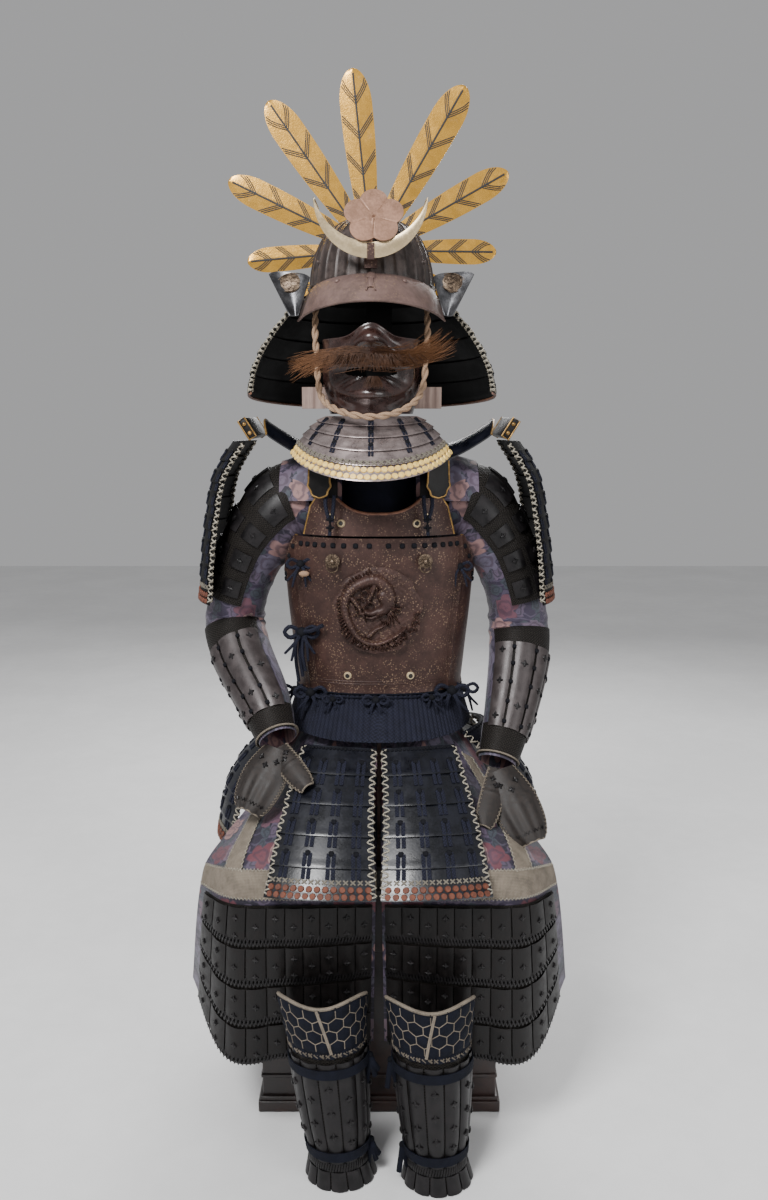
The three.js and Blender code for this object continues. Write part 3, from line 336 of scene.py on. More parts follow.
class Graph:
    """Adds and links the nodes of one shader tree."""

    def __init__(self, tree: bpy.types.NodeTree) -> None:
        """Keeps the tree that the nodes go into."""
        self.tree = tree

    def add(self, kind: str, inputs: dict | None = None, **settings: object) -> bpy.types.Node:
        """Adds a node.

        Args:
            kind: The node's type, without its ShaderNode prefix.
            inputs: Values or sockets for its inputs, by name or number.
            settings: The node's own settings.

        Returns:
            The node.
        """
        node = self.tree.nodes.new(kind if kind.startswith("NodeGroup") else "ShaderNode" + kind)
        for key, value in settings.items():
            setattr(node, key, value)
        for key, value in (inputs or {}).items():
            self.feed(node.inputs[key], value)
        return node

    def feed(self, socket: bpy.types.NodeSocket, value: object) -> None:
        """Links or sets one input."""
        if isinstance(value, bpy.types.NodeSocket):
            self.tree.links.new(value, socket)
        else:
            socket.default_value = value

    def math(self, operation: str, *values: object) -> bpy.types.NodeSocket:
        """A Math node's result for two or three values."""
        node = self.add("Math", dict(enumerate(values)), operation=operation)
        return node.outputs[0]

    def vector(self, operation: str, *values: object) -> bpy.types.Node:
        """A Vector Math node for its vectors, in order."""
        return self.add("VectorMath", dict(enumerate(values)), operation=operation)

    def mix(self, factor: object, a: object, b: object) -> bpy.types.NodeSocket:
        """A colour between two colours."""
        node = self.add("Mix", data_type="RGBA")
        self.feed(node.inputs["Factor"], factor)
        self.feed(node.inputs["A"], (*a, 1.0) if isinstance(a, tuple) else a)
        self.feed(node.inputs["B"], (*b, 1.0) if isinstance(b, tuple) else b)
        return node.outputs["Result"]

    def ramp(self, value: object, low: float, high: float) -> bpy.types.NodeSocket:
        """The value taken from low and high to 0 and 1, smoothly."""
        node = self.add("MapRange", {"Value": value, "From Min": low, "From Max": high},
                        interpolation_type="SMOOTHSTEP")
        return node.outputs["Result"]

    def noise(self, vector: object, scale: object, detail: float = 3.0,
              rough: float = 0.55) -> bpy.types.NodeSocket:
        """Noise from 0 to 1 at a scale."""
        node = self.add("TexNoise", {"Vector": vector, "Scale": scale, "Detail": detail, "Roughness": rough})
        return node.outputs["Fac"]


class EffectGroups:
    """Shader effects that several finishes share, each built once."""

    def __init__(self) -> None:
        """Starts with no group built."""
        self.built: dict[str, bpy.types.NodeTree] = {}

    def group(self, name: str, inputs: dict[str, str], outputs: dict[str, str],
              fill: Callable[[Graph, bpy.types.Node, bpy.types.Node], None]) -> bpy.types.NodeTree:
        """A node group, made the first time that it is asked for.

        Args:
            name: The group's name.
            inputs: Socket type for each input's name.
            outputs: Socket type for each output's name.
            fill: Adds the nodes between the group's two ends.

        Returns:
            The group.
        """
        if name not in self.built:
            tree = bpy.data.node_groups.new(name, "ShaderNodeTree")
            for label, kind in inputs.items():
                tree.interface.new_socket(label, in_out="INPUT", socket_type=f"NodeSocket{kind}")
            for label, kind in outputs.items():
                tree.interface.new_socket(label, in_out="OUTPUT", socket_type=f"NodeSocket{kind}")
            graph = Graph(tree)
            fill(graph, graph.add("NodeGroupInput"), graph.add("NodeGroupOutput"))
            self.built[name] = tree
        return self.built[name]

    def wear(self) -> bpy.types.NodeTree:
        """Broad clouds of wear over fine grime."""
        def fill(graph: Graph, start: bpy.types.Node, end: bpy.types.Node) -> None:
            """Adds the wear's nodes."""
            place, scale = start.outputs["Vector"], start.outputs["Scale"]
            cloud = graph.noise(place, scale, 4.0, 0.6)
            fine = graph.noise(place, graph.math("MULTIPLY", scale, 9.0), 3.0, 0.6)
            both = graph.math("ADD", graph.math("MULTIPLY", cloud, 0.7), graph.math("MULTIPLY", fine, 0.3))
            graph.feed(end.inputs["Mask"], graph.ramp(both, 0.36, 0.68))
            graph.feed(end.inputs["Height"], fine)
        return self.group("wear", {"Vector": "Vector", "Scale": "Float"},
                          {"Mask": "Float", "Height": "Float"}, fill)

    def specks(self) -> bpy.types.NodeTree:
        """Fine bright grains scattered in a dark ground."""
        def fill(graph: Graph, start: bpy.types.Node, end: bpy.types.Node) -> None:
            """Adds the specks' nodes."""
            place, scale = start.outputs["Vector"], start.outputs["Scale"]
            cells = graph.add("TexVoronoi", {"Vector": place, "Scale": scale, "Randomness": 1.0})
            grain = graph.ramp(cells.outputs["Distance"], 0.4, 0.16)
            patches = graph.noise(place, graph.math("MULTIPLY", scale, 0.12), 4.0, 0.7)
            chance = graph.ramp(patches, 0.42, 0.62)
            rough = graph.noise(place, graph.math("MULTIPLY", scale, 0.6), 4.0, 0.7)
            graph.feed(end.inputs["Mask"], graph.math("MULTIPLY", grain, chance))
            graph.feed(end.inputs["Height"], rough)
        return self.group("specks", {"Vector": "Vector", "Scale": "Float"},
                          {"Mask": "Float", "Height": "Float"}, fill)

    def threads(self) -> bpy.types.NodeTree:
        """Threads that cross at right angles, or slant by Turn."""
        def fill(graph: Graph, start: bpy.types.Node, end: bpy.types.Node) -> None:
            """Adds the threads' nodes."""
            turned = graph.add("VectorRotate",
                               {"Vector": start.outputs["Vector"], "Angle": start.outputs["Turn"]},
                               rotation_type="Z_AXIS")
            scaled = graph.vector("SCALE", turned.outputs[0])
            graph.feed(scaled.inputs["Scale"], graph.math("MULTIPLY", start.outputs["Scale"], pi))
            split = graph.add("SeparateXYZ", {"Vector": scaled.outputs[0]})
            warp = graph.math("ABSOLUTE", graph.math("SINE", split.outputs["X"]))
            weft = graph.math("ABSOLUTE", graph.math("SINE", split.outputs["Y"]))
            over = graph.math("MULTIPLY", graph.math("SINE", split.outputs["X"]),
                              graph.math("SINE", split.outputs["Y"]))
            pick = graph.math("GREATER_THAN", over, 0.0)
            mixed = graph.add("Mix", {"Factor": pick, 2: warp, 3: weft}, data_type="FLOAT")
            graph.feed(end.inputs["Height"], mixed.outputs[0])
        return self.group("threads", {"Vector": "Vector", "Scale": "Float", "Turn": "Float"},
                          {"Height": "Float"}, fill)


class Paint:
    """Makes each finish's material once."""

    def __init__(self) -> None:
        """Starts with no material made."""
        self.effects = EffectGroups()
        self.made: dict[str, bpy.types.Material] = {}

    def material(self, finish: Finish) -> bpy.types.Material:
        """The finish's material.

        Args:
            finish: The finish.

        Returns:
            The material, made the first time.
        """
        if finish.name not in self.made:
            self.made[finish.name] = self.build(finish)
        return self.made[finish.name]

    def build(self, finish: Finish) -> bpy.types.Material:
        """Makes one material from its finish."""
        material = bpy.data.materials.new(finish.name)
        material.use_nodes = True
        graph = Graph(material.node_tree)
        shader = material.node_tree.nodes["Principled BSDF"]
        place = graph.add("TexCoord")
        layouts = {
            Pattern.LACQUER: self.lacquer, Pattern.METAL: self.lacquer, Pattern.FLOOR: self.lacquer,
            Pattern.SPECKLE: self.speckle, Pattern.LEAF: self.leaf, Pattern.BRAID: self.braid,
            Pattern.TWIST: self.twist, Pattern.WEAVE: self.weave, Pattern.BROCADE: self.brocade,
            Pattern.MAIL: self.mail, Pattern.HAIR: self.hair, Pattern.GRAIN: self.grain,
        }
        colour, roughness, height = layouts[finish.pattern](graph, place, finish)
        graph.feed(shader.inputs["Base Color"], colour)
        graph.feed(shader.inputs["Roughness"], roughness)
        shader.inputs["Metallic"].default_value = finish.metallic
        shader.inputs["Coat Weight"].default_value = finish.coat
        shader.inputs["Coat Roughness"].default_value = 0.12
        shader.inputs["Sheen Weight"].default_value = finish.sheen
        shader.inputs["Specular IOR Level"].default_value = finish.shine
        relief = graph.add("Bump", {"Height": height, "Strength": 1.0, "Distance": finish.relief * MM})
        graph.feed(shader.inputs["Normal"], relief.outputs["Normal"])
        return material

    def effect(self, graph: Graph, tree: bpy.types.NodeTree, **inputs: object) -> bpy.types.Node:
        """Places a shared effect in a material."""
        node = graph.add("Group", node_tree=tree)
        for key, value in inputs.items():
            graph.feed(node.inputs[key], value)
        return node

    def rough(self, graph: Graph, finish: Finish, mask: object,
              spread: float = 0.16) -> bpy.types.NodeSocket:
        """Roughness that follows a mask about the finish's own value."""
        shift = graph.math("MULTIPLY", graph.math("SUBTRACT", mask, 0.5), spread)
        return graph.math("ADD", shift, finish.roughness)

    def lacquer(self, graph: Graph, place: bpy.types.Node, finish: Finish) -> tuple:
        """Worn lacquer or metal in soft clouds."""
        wear = self.effect(graph, self.effects.wear(), Vector=place.outputs["Object"], Scale=finish.scale)
        colour = graph.mix(wear.outputs["Mask"], finish.dark, finish.light)
        return colour, self.rough(graph, finish, wear.outputs["Mask"]), wear.outputs["Height"]

    def speckle(self, graph: Graph, place: bpy.types.Node, finish: Finish) -> tuple:
        """Russet iron with bright grains."""
        specks = self.effect(graph, self.effects.specks(), Vector=place.outputs["Object"],
                             Scale=finish.scale)
        wear = self.effect(graph, self.effects.wear(), Vector=place.outputs["Object"], Scale=14.0)
        ground = graph.mix(wear.outputs["Mask"], finish.dark, finish.light)
        grain = (0.24, 0.16, 0.105)
        colour = graph.mix(graph.math("MULTIPLY", specks.outputs["Mask"], 0.8), ground, grain)
        return colour, self.rough(graph, finish, specks.outputs["Height"], 0.2), specks.outputs["Height"]

    def leaf(self, graph: Graph, place: bpy.types.Node, finish: Finish) -> tuple:
        """Gold leaf rubbed away in streaks."""
        wear = self.effect(graph, self.effects.wear(), Vector=place.outputs["Object"], Scale=finish.scale)
        rubbed = graph.ramp(graph.noise(place.outputs["Object"], finish.scale * 2.4, 6.0, 0.72), 0.56, 0.74)
        ground = graph.mix(wear.outputs["Mask"], finish.dark, finish.light)
        light = graph.mix(0.55, ground, finish.light)
        colour = graph.mix(graph.math("MULTIPLY", rubbed, 0.8), light, (0.16, 0.1, 0.045))
        return colour, self.rough(graph, finish, rubbed, 0.35), wear.outputs["Height"]

    def braid(self, graph: Graph, place: bpy.types.Node, finish: Finish) -> tuple:
        """Flat braid whose strands slant both ways."""
        threads = self.effect(graph, self.effects.threads(), Vector=place.outputs["UV"], Scale=finish.scale,
                              Turn=radians(40))
        height = threads.outputs["Height"]
        soft = graph.noise(place.outputs["Object"], 60.0, 3.0)
        # Colour follows the strands' height, darker between strands as painted shade, with soft noise for
        # uneven tone.
        tone = graph.math("ADD", graph.math("MULTIPLY", height, 0.6), graph.math("MULTIPLY", soft, 0.5))
        return graph.mix(graph.ramp(tone, 0.2, 1.0), finish.dark, finish.light), finish.roughness, height

    def twist(self, graph: Graph, place: bpy.types.Node, finish: Finish) -> tuple:
        """Rope fibres that follow the twist."""
        turned = graph.add("VectorRotate", {"Vector": place.outputs["UV"], "Angle": radians(38)},
                           rotation_type="Z_AXIS")
        wave = graph.add("TexWave", {"Vector": turned.outputs[0], "Scale": finish.scale, "Distortion": 1.5,
                                     "Detail": 2.0, "Detail Scale": 3.0})
        soft = graph.noise(place.outputs["Object"], 90.0, 4.0)
        # Colour follows the fibres' relief, darker in the grooves as painted shade, with soft noise for
        # uneven tone.
        tone = graph.math("MULTIPLY", graph.math("ADD", wave.outputs["Fac"], soft), 0.5)
        return graph.mix(tone, finish.dark, finish.light), finish.roughness, wave.outputs["Fac"]

    def weave(self, graph: Graph, place: bpy.types.Node, finish: Finish) -> tuple:
        """Plain weave with uneven threads, darker between threads as painted shade."""
        threads = self.effect(graph, self.effects.threads(), Vector=place.outputs["UV"], Scale=finish.scale,
                              Turn=0.0)
        soft = graph.noise(place.outputs["Object"], 45.0, 5.0, 0.7)
        # Colour follows the threads' height, darker between them as painted shade, with soft noise for
        # uneven threads.
        tone = graph.math("ADD", graph.math("MULTIPLY", threads.outputs["Height"], 0.45), soft)
        colour = graph.mix(graph.ramp(tone, 0.35, 1.1), finish.dark, finish.light)
        return colour, finish.roughness, threads.outputs["Height"]

    def petals(self, graph: Graph, spot: object, count: float, size: float) -> tuple:
        """Round flowers or leaves, one in each cell.

        Args:
            graph: The material's nodes.
            spot: Place on the cloth, one cell to a unit.
            count: Petals to a flower.
            size: Radius of a flower.

        Returns:
            The mask, the shade within it and a random value for each flower.
        """
        cells = graph.add("TexVoronoi", {"Vector": spot, "Scale": 1.0, "Randomness": 0.8},
                          voronoi_dimensions="2D")
        away = graph.vector("SUBTRACT", spot, cells.outputs["Position"])
        split = graph.add("SeparateXYZ", {"Vector": away.outputs[0]})
        chance = graph.add("SeparateColor", {"Color": cells.outputs["Color"]})
        angle = graph.math("ARCTAN2", split.outputs["Y"], split.outputs["X"])
        turned = graph.math("MULTIPLY_ADD", angle, count, graph.math("MULTIPLY", chance.outputs[1], 6.0))
        lobe = graph.math("ABSOLUTE", graph.math("COSINE", graph.math("MULTIPLY", turned, 0.5)))
        radius = graph.vector("LENGTH", away.outputs[0]).outputs["Value"]
        edge = graph.math("MULTIPLY_ADD", lobe, size * 0.42, size * 0.62)
        share = graph.math("DIVIDE", radius, edge)
        mask = graph.ramp(share, 1.04, 0.94)
        rings = graph.math("SINE", graph.math("MULTIPLY_ADD", share, 11.0,
                                              graph.math("MULTIPLY", lobe, 3.0)))
        return mask, graph.ramp(rings, -0.4, 1.0), chance.outputs[0]

    def brocade(self, graph: Graph, place: bpy.types.Node, finish: Finish) -> tuple:
        """Purple brocade with round flowers among leaves and curling stems."""
        spot = graph.vector("SCALE", place.outputs["UV"])
        spot.inputs["Scale"].default_value = finish.scale
        sway = graph.add("TexNoise", {"Vector": spot.outputs[0], "Scale": 1.7, "Detail": 2.0})
        offset = graph.vector("MULTIPLY", sway.outputs["Color"], (0.5, 0.5, 0.0))
        flat = graph.vector("ADD", spot.outputs[0], offset.outputs[0]).outputs[0]
        flower, shade, chance = self.petals(graph, flat, 5.0, 0.52)
        flower = graph.math("MULTIPLY", flower, graph.math("GREATER_THAN", chance, 0.42))
        leafy = graph.add("Mapping", {"Vector": flat, "Location": (0.37, 0.61, 0.0),
                                      "Scale": (2.2, 1.6, 1.0)})
        leaf, vein, tint = self.petals(graph, leafy.outputs[0], 3.0, 0.5)
        stems = graph.add("TexWave", {"Vector": flat, "Scale": 0.9, "Distortion": 11.0, "Detail": 1.0,
                                      "Detail Scale": 1.2}, wave_type="RINGS")
        stem = graph.math("MULTIPLY", graph.ramp(stems.outputs["Fac"], 0.84, 0.93), 0.6)
        red = graph.mix(graph.ramp(chance, 0.5, 0.6), (0.12, 0.03, 0.042), (0.1, 0.085, 0.13))
        red = graph.mix(graph.ramp(chance, 0.8, 0.86), red, (0.27, 0.15, 0.14))
        petal = graph.mix(graph.math("MULTIPLY", shade, 0.6), red, (0.03, 0.012, 0.028))
        green = graph.mix(graph.ramp(tint, 0.3, 0.7), (0.035, 0.045, 0.06), (0.085, 0.06, 0.1))
        blade = graph.mix(graph.math("MULTIPLY", vein, 0.7), green, (0.01, 0.009, 0.016))
        cloud = graph.ramp(graph.noise(place.outputs["Object"], 9.0, 4.0), 0.35, 0.7)
        ground = graph.mix(cloud, finish.dark, (0.026, 0.016, 0.042))
        colour = graph.mix(stem, ground, finish.light)
        colour = graph.mix(graph.math("MULTIPLY", leaf, 0.9), colour, blade)
        colour = graph.mix(graph.math("MULTIPLY", flower, 0.9), colour, petal)
        faded = graph.ramp(graph.noise(place.outputs["Object"], 16.0, 3.0), 0.52, 0.75)
        colour = graph.mix(graph.math("MULTIPLY", faded, 0.16), colour, (0.16, 0.12, 0.18))
        threads = self.effect(graph, self.effects.threads(), Vector=place.outputs["UV"], Scale=800.0,
                              Turn=0.0)
        raised = graph.math("MAXIMUM", flower, leaf)
        height = graph.math("MULTIPLY_ADD", threads.outputs["Height"], 0.4, raised)
        return colour, finish.roughness, height

    def mail(self, graph: Graph, place: bpy.types.Node, finish: Finish) -> tuple:
        """Close rows of small iron rings."""
        cells = graph.add("TexVoronoi", {"Vector": place.outputs["UV"], "Scale": finish.scale,
                                         "Randomness": 0.12},
                          voronoi_dimensions="2D")
        away = graph.math("ABSOLUTE", graph.math("SUBTRACT", cells.outputs["Distance"], 0.4))
        ring = graph.ramp(away, 0.2, 0.03)
        return graph.mix(ring, finish.dark, finish.light), finish.roughness, ring

    def hair(self, graph: Graph, place: bpy.types.Node, finish: Finish) -> tuple:
        """Hair that pales from its root to its tip."""
        split = graph.add("SeparateXYZ", {"Vector": place.outputs["UV"]})
        streak = graph.noise(place.outputs["Object"], 300.0, 2.0)
        tone = graph.math("MULTIPLY_ADD", split.outputs["Y"], 7.0, graph.math("MULTIPLY", streak, 0.5))
        return graph.mix(graph.ramp(tone, 0.1, 1.1), finish.dark, finish.light), finish.roughness, streak

    def grain(self, graph: Graph, place: bpy.types.Node, finish: Finish) -> tuple:
        """Long wood grain."""
        stretched = graph.add("Mapping", {"Vector": place.outputs["Object"], "Scale": (9.0, 9.0, 0.7)})
        streak = graph.noise(stretched.outputs[0], finish.scale, 5.0, 0.65)
        return graph.mix(graph.ramp(streak, 0.3, 0.7), finish.dark, finish.light), finish.roughness, streak


PAINT = Paint()


# ------------------------------------------------------------------ making meshes
class Shape:
    """A mesh under construction, all in one finish."""

    SHARP = radians(38)

    def __init__(self) -> None:
        """Starts empty."""
        self.bm = bmesh.new()
        self.bm.loops.layers.uv.new("UVMap")

    def take(self, part: bmesh.types.BMesh) -> None:
        """Adds a finished part and frees it."""
        mesh = bpy.data.meshes.new("part")
        part.to_mesh(mesh)
        part.free()
        self.bm.from_mesh(mesh)
        bpy.data.meshes.remove(mesh)

    def block(self, place: Matrix, bevel: float, segments: int = 2) -> None:
        """Adds a bevelled unit cube at a place that also gives its size."""
        part = bmesh.new()
        part.loops.layers.uv.new("UVMap")
        bmesh.ops.create_cube(part, size=1.0, matrix=place)
        bmesh.ops.bevel(part, geom=part.edges[:], offset=bevel, segments=segments, profile=0.5,
                        affect="EDGES", material=-1)
        self.take(part)

    def stamp(self, mesh: bpy.types.Mesh, places: Iterable[Matrix]) -> None:
        """Adds a copy of a small mesh at each place."""
        part = bmesh.new()
        part.loops.layers.uv.new("UVMap")
        for place in places:
            start = len(part.verts)
            part.from_mesh(mesh)
            part.verts.ensure_lookup_table()
            bmesh.ops.transform(part, matrix=place, verts=part.verts[start:])
        self.take(part)

    def sheet(self, skin: Skin, columns: int, rows: int, thick: float, lift: Lift | float = 0.0,
              u_span: tuple[float, float] = (0.0, 1.0), v_span: tuple[float, float] = (0.0, 1.0),
              keep: Callable[[float, float], bool] | None = None) -> None:
        """Adds a wall on a skin.

        Args:
            skin: The surface.
            columns: Faces across.
            rows: Faces along.
            thick: The wall's thickness; its inner side is at the lift.
            lift: Height of the inner side, or a function of the shares within the span.
            u_span: Where it starts and ends across.
            v_span: Where it starts and ends along.
            keep: Says which faces stay, by the shares of their middle.
        """
        part = bmesh.new()
        bmesh.ops.create_grid(part, x_segments=columns, y_segments=rows, size=0.5)
        layer = part.loops.layers.uv.new("UVMap")
        if keep:
            middles = {face: face.calc_center_median() for face in part.faces}
            doomed = [face for face, c in middles.items() if not keep(c.x + 0.5, c.y + 0.5)]
            bmesh.ops.delete(part, geom=doomed, context="FACES")
        wide = skin.width(lerp(*v_span, 0.5), *u_span) * MM
        long = skin.height(lerp(*u_span, 0.5), *v_span) * MM
        for face in part.faces:
            for loop in face.loops:
                loop[layer].uv = ((loop.vert.co.x + 0.5) * wide, (loop.vert.co.y + 0.5) * long)
        for vert in part.verts:
            s, t = vert.co.x + 0.5, vert.co.y + 0.5
            height = lift(s, t) if callable(lift) else lift
            vert.co = skin.point(lerp(*u_span, s), lerp(*v_span, t), height + thick)
        if skin.sign < 0:
            bmesh.ops.reverse_faces(part, faces=part.faces[:])
        bmesh.ops.remove_doubles(part, verts=part.verts[:], dist=1e-3)
        if thick:
            part.normal_update()
            reach = 1.5 * max(edge.calc_length() for edge in part.edges) + 2 * thick
            bmesh.ops.solidify(part, geom=part.faces[:], thickness=thick)
            for vert in part.verts:
                if min(edge.calc_length() for edge in vert.link_edges) > reach:
                    around = [edge.other_vert(vert).co for edge in vert.link_edges]
                    vert.co = sum(around, Vector()) / len(around)
        self.take(part)

    def tube(self, points: Sequence[Vector], radius: Callable[[float], float] | float, sides: int = 8,
             flat: float = 1.0) -> None:
        """Adds a round or flattened cord along points, closed at both ends.

        Args:
            points: The cord's middle line.
            radius: Its radius, or a function of the share along it.
            sides: Faces round it.
            flat: Thickness as a share of its width.
        """
        part = bmesh.new()
        bmesh.ops.create_grid(part, x_segments=sides, y_segments=len(points) - 1, size=0.5)
        layer = part.loops.layers.uv.new("UVMap")
        reach = [0.0]
        for a, b in zip(points, points[1:]):
            reach.append(reach[-1] + (b - a).length)
        last = len(points) - 1
        side = Vector((0.0, 0.0, 1.0))
        frames = []
        for k in range(last + 1):
            along = (points[min(k + 1, last)] - points[max(k - 1, 0)]).normalized()
            if k == 0 and abs(along.z) > 0.8:
                side = Vector((0.0, -1.0, 0.0))
            side = (side - along * side.dot(along)).normalized()
            frames.append((side.copy(), along.cross(side)))
        for face in part.faces:
            for loop in face.loops:
                row = round((loop.vert.co.y + 0.5) * last)
                size = radius(row / last) if callable(radius) else radius
                loop[layer].uv = ((loop.vert.co.x + 0.5) * 2 * pi * size * MM, reach[row] * MM)
        for vert in part.verts:
            row = round((vert.co.y + 0.5) * last)
            angle = (vert.co.x + 0.5) * 2 * pi
            size = radius(row / last) if callable(radius) else radius
            up, across = frames[row]
            vert.co = points[row] + up * (sin(angle) * size * flat) + across * (cos(angle) * size)
        bmesh.ops.remove_doubles(part, verts=part.verts[:], dist=1e-4)
        edges = [edge for edge in part.edges if edge.is_boundary]
        bmesh.ops.holes_fill(part, edges=edges, sides=0)
        bmesh.ops.recalc_face_normals(part, faces=part.faces[:])
        self.take(part)

    def strip(self, skin: Skin, start: tuple[float, float], end: tuple[float, float], width: float,
              thick: float,
              lift: Callable[[float, float], float] | float, steps: int = 6, arch: float = 0.0) -> None:
        """Adds a flat cord on a skin, from one place to another.

        Args:
            skin: The surface.
            start: Shares across and along where it starts.
            end: Shares where it ends.
            width: The cord's width.
            thick: The cord's thickness.
            lift: Height of its underside, or a function of the skin's shares.
            steps: Faces along it.
            arch: How far its middle rises between its ends.
        """
        def surface(s: float, t: float) -> Vector:
            """The cord's middle surface."""
            u, v = lerp(start[0], end[0], t), lerp(start[1], end[1], t)
            d = 0.02
            ahead = skin.surface(lerp(start[0], end[0], t + d), lerp(start[1], end[1], t + d))
            behind = skin.surface(lerp(start[0], end[0], t - d), lerp(start[1], end[1], t - d))
            out = skin.normal(u, v)
            across = (ahead - behind).cross(out).normalized()
            height = (lift(u, v) if callable(lift) else lift) + arch * sin(pi * clamp(t))
            return skin.surface(u, v) + out * height + across * (width * (s - 0.5))
        u, v = (start[0] + end[0]) / 2, (start[1] + end[1]) / 2
        cord = Skin(surface, skin.point(u, v, -200.0))
        self.sheet(cord, 2, steps, thick, lambda s, t: -0.35 * thick * abs(2 * s - 1))

    def stitch(self, skin: Skin, start: tuple[float, float], end: tuple[float, float], count: int,
               wide: float, lift: float, radius: float = 0.9) -> None:
        """Adds a zigzag stitch on a skin, from one place to another."""
        line = [skin.surface(lerp(start[0], end[0], t), lerp(start[1], end[1], t)) for t in (0.0, 1.0)]
        along = (line[1] - line[0]).normalized()
        points = []
        for k in range(2 * count + 1):
            t = k / (2 * count)
            u, v = lerp(start[0], end[0], t), lerp(start[1], end[1], t)
            out = skin.normal(u, v)
            sway = wide * (0.5 if k % 2 else -0.5)
            points.append(skin.surface(u, v) + out * lift + out.cross(along).normalized() * sway)
        self.tube(points, radius, 5)

    def make(self, name: str, finish: Finish, replaces: Sequence[str] = (),
             body: str = "root") -> bpy.types.Object:
        """Turns the shape into a finished object that rides on a body.

        Args:
            name: The piece's name.
            finish: Its finish.
            replaces: The solids that it stands for.
            body: The body that carries it.

        Returns:
            The object.
        """
        place = Matrix.Scale(MM, 4) @ Matrix.Translation(frame_origin())
        bmesh.ops.transform(self.bm, matrix=place, verts=self.bm.verts[:])
        for face in self.bm.faces:
            face.smooth = True
        for edge in self.bm.edges:
            if len(edge.link_faces) == 2 and edge.calc_face_angle(0.0) > self.SHARP:
                edge.smooth = False
        mesh = bpy.data.meshes.new(name)
        self.bm.to_mesh(mesh)
        self.bm.free()
        mesh.materials.append(PAINT.material(finish))
        piece = bpy.data.objects.new(name, mesh)
        bpy.context.scene.collection.objects.link(piece)
        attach(piece, body)
        if replaces:
            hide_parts(*replaces)
        LOG.info("%s: %d faces, %s", name, len(mesh.polygons), finish.name)
        return piece


def small_mesh(name: str, build: Callable[[bmesh.types.BMesh], None]) -> bpy.types.Mesh:
    """A small mesh to be stamped many times.

    Args:
        name: The mesh's name.
        build: Fills a bmesh.

    Returns:
        The mesh.
    """
    part = bmesh.new()
    part.loops.layers.uv.new("UVMap")
    build(part)
    mesh = bpy.data.meshes.new(name)
    part.to_mesh(mesh)
    part.free()
    return mesh


def disc_mesh(radius: float, high: float, sides: int = 12) -> bpy.types.Mesh:
    """A low disc with a chamfered rim, its foot at Z 0."""
    def build(part: bmesh.types.BMesh) -> None:
        """Adds the disc."""
        bmesh.ops.create_cone(part, cap_ends=True, segments=sides, radius1=radius, radius2=radius * 0.8,
                              depth=high, matrix=Matrix.Translation((0, 0, high / 2)))
    return small_mesh("disc", build)


def rivet_mesh(radius: float, high: float) -> bpy.types.Mesh:
    """A round rivet head."""
    def build(part: bmesh.types.BMesh) -> None:
        """Adds the head."""
        squash = Matrix.Diagonal((1.0, 1.0, high / radius, 1.0))
        bmesh.ops.create_icosphere(part, subdivisions=2, radius=radius, matrix=squash)
    return small_mesh("rivet", build)


def cross_knot_mesh(size: float, high: float) -> bpy.types.Mesh:
    """A knot of two crossing turns of cord, with four points."""
    def build(part: bmesh.types.BMesh) -> None:
        """Adds the two turns."""
        for turn in (0, 90):
            shape = rotation(turn, "Z") @ Matrix.Diagonal((size, size * 0.36, high, 1.0))
            bmesh.ops.create_icosphere(part, subdivisions=1, radius=1.0, matrix=shape)
    return small_mesh("cross knot", build)


def square_knot_mesh(size: float, high: float) -> bpy.types.Mesh:
    """A square knot with soft corners."""
    def build(part: bmesh.types.BMesh) -> None:
        """Adds the block and rounds it."""
        bmesh.ops.create_cube(part, size=1.0, matrix=Matrix.Diagonal((size, size, high * 2, 1.0)))
        bmesh.ops.bevel(part, geom=part.edges[:], offset=size * 0.2, segments=1, profile=0.5, affect="EDGES",
                        material=-1)
    return small_mesh("square knot", build)


def cross_lace_mesh(size: float, width: float, high: float, slant: float = 42.0) -> bpy.types.Mesh:
    """Two flat cords that cross."""
    def build(part: bmesh.types.BMesh) -> None:
        """Adds the two cords."""
        for turn, level in ((slant, 0.0), (-slant, high * 0.5)):
            shape = (Matrix.Translation((0, 0, level)) @ rotation(turn, "Z")
                     @ Matrix.Diagonal((size, width, high * 2, 1.0)))
            made = bmesh.ops.create_cube(part, size=1.0, matrix=shape)
            edges = {edge for vert in made["verts"] for edge in vert.link_edges}
            bmesh.ops.bevel(part, geom=list(edges), offset=width * 0.22, segments=1, profile=0.5,
                            affect="EDGES", material=-1)
    return small_mesh("cross lace", build)


@dataclass
class Sided:
    """A part that is made once for each side: 1 for the left, -1 for the right."""

    side: int

    @property
    def tag(self) -> str:
        """The side's letter."""
        return "l" if self.side > 0 else "r"


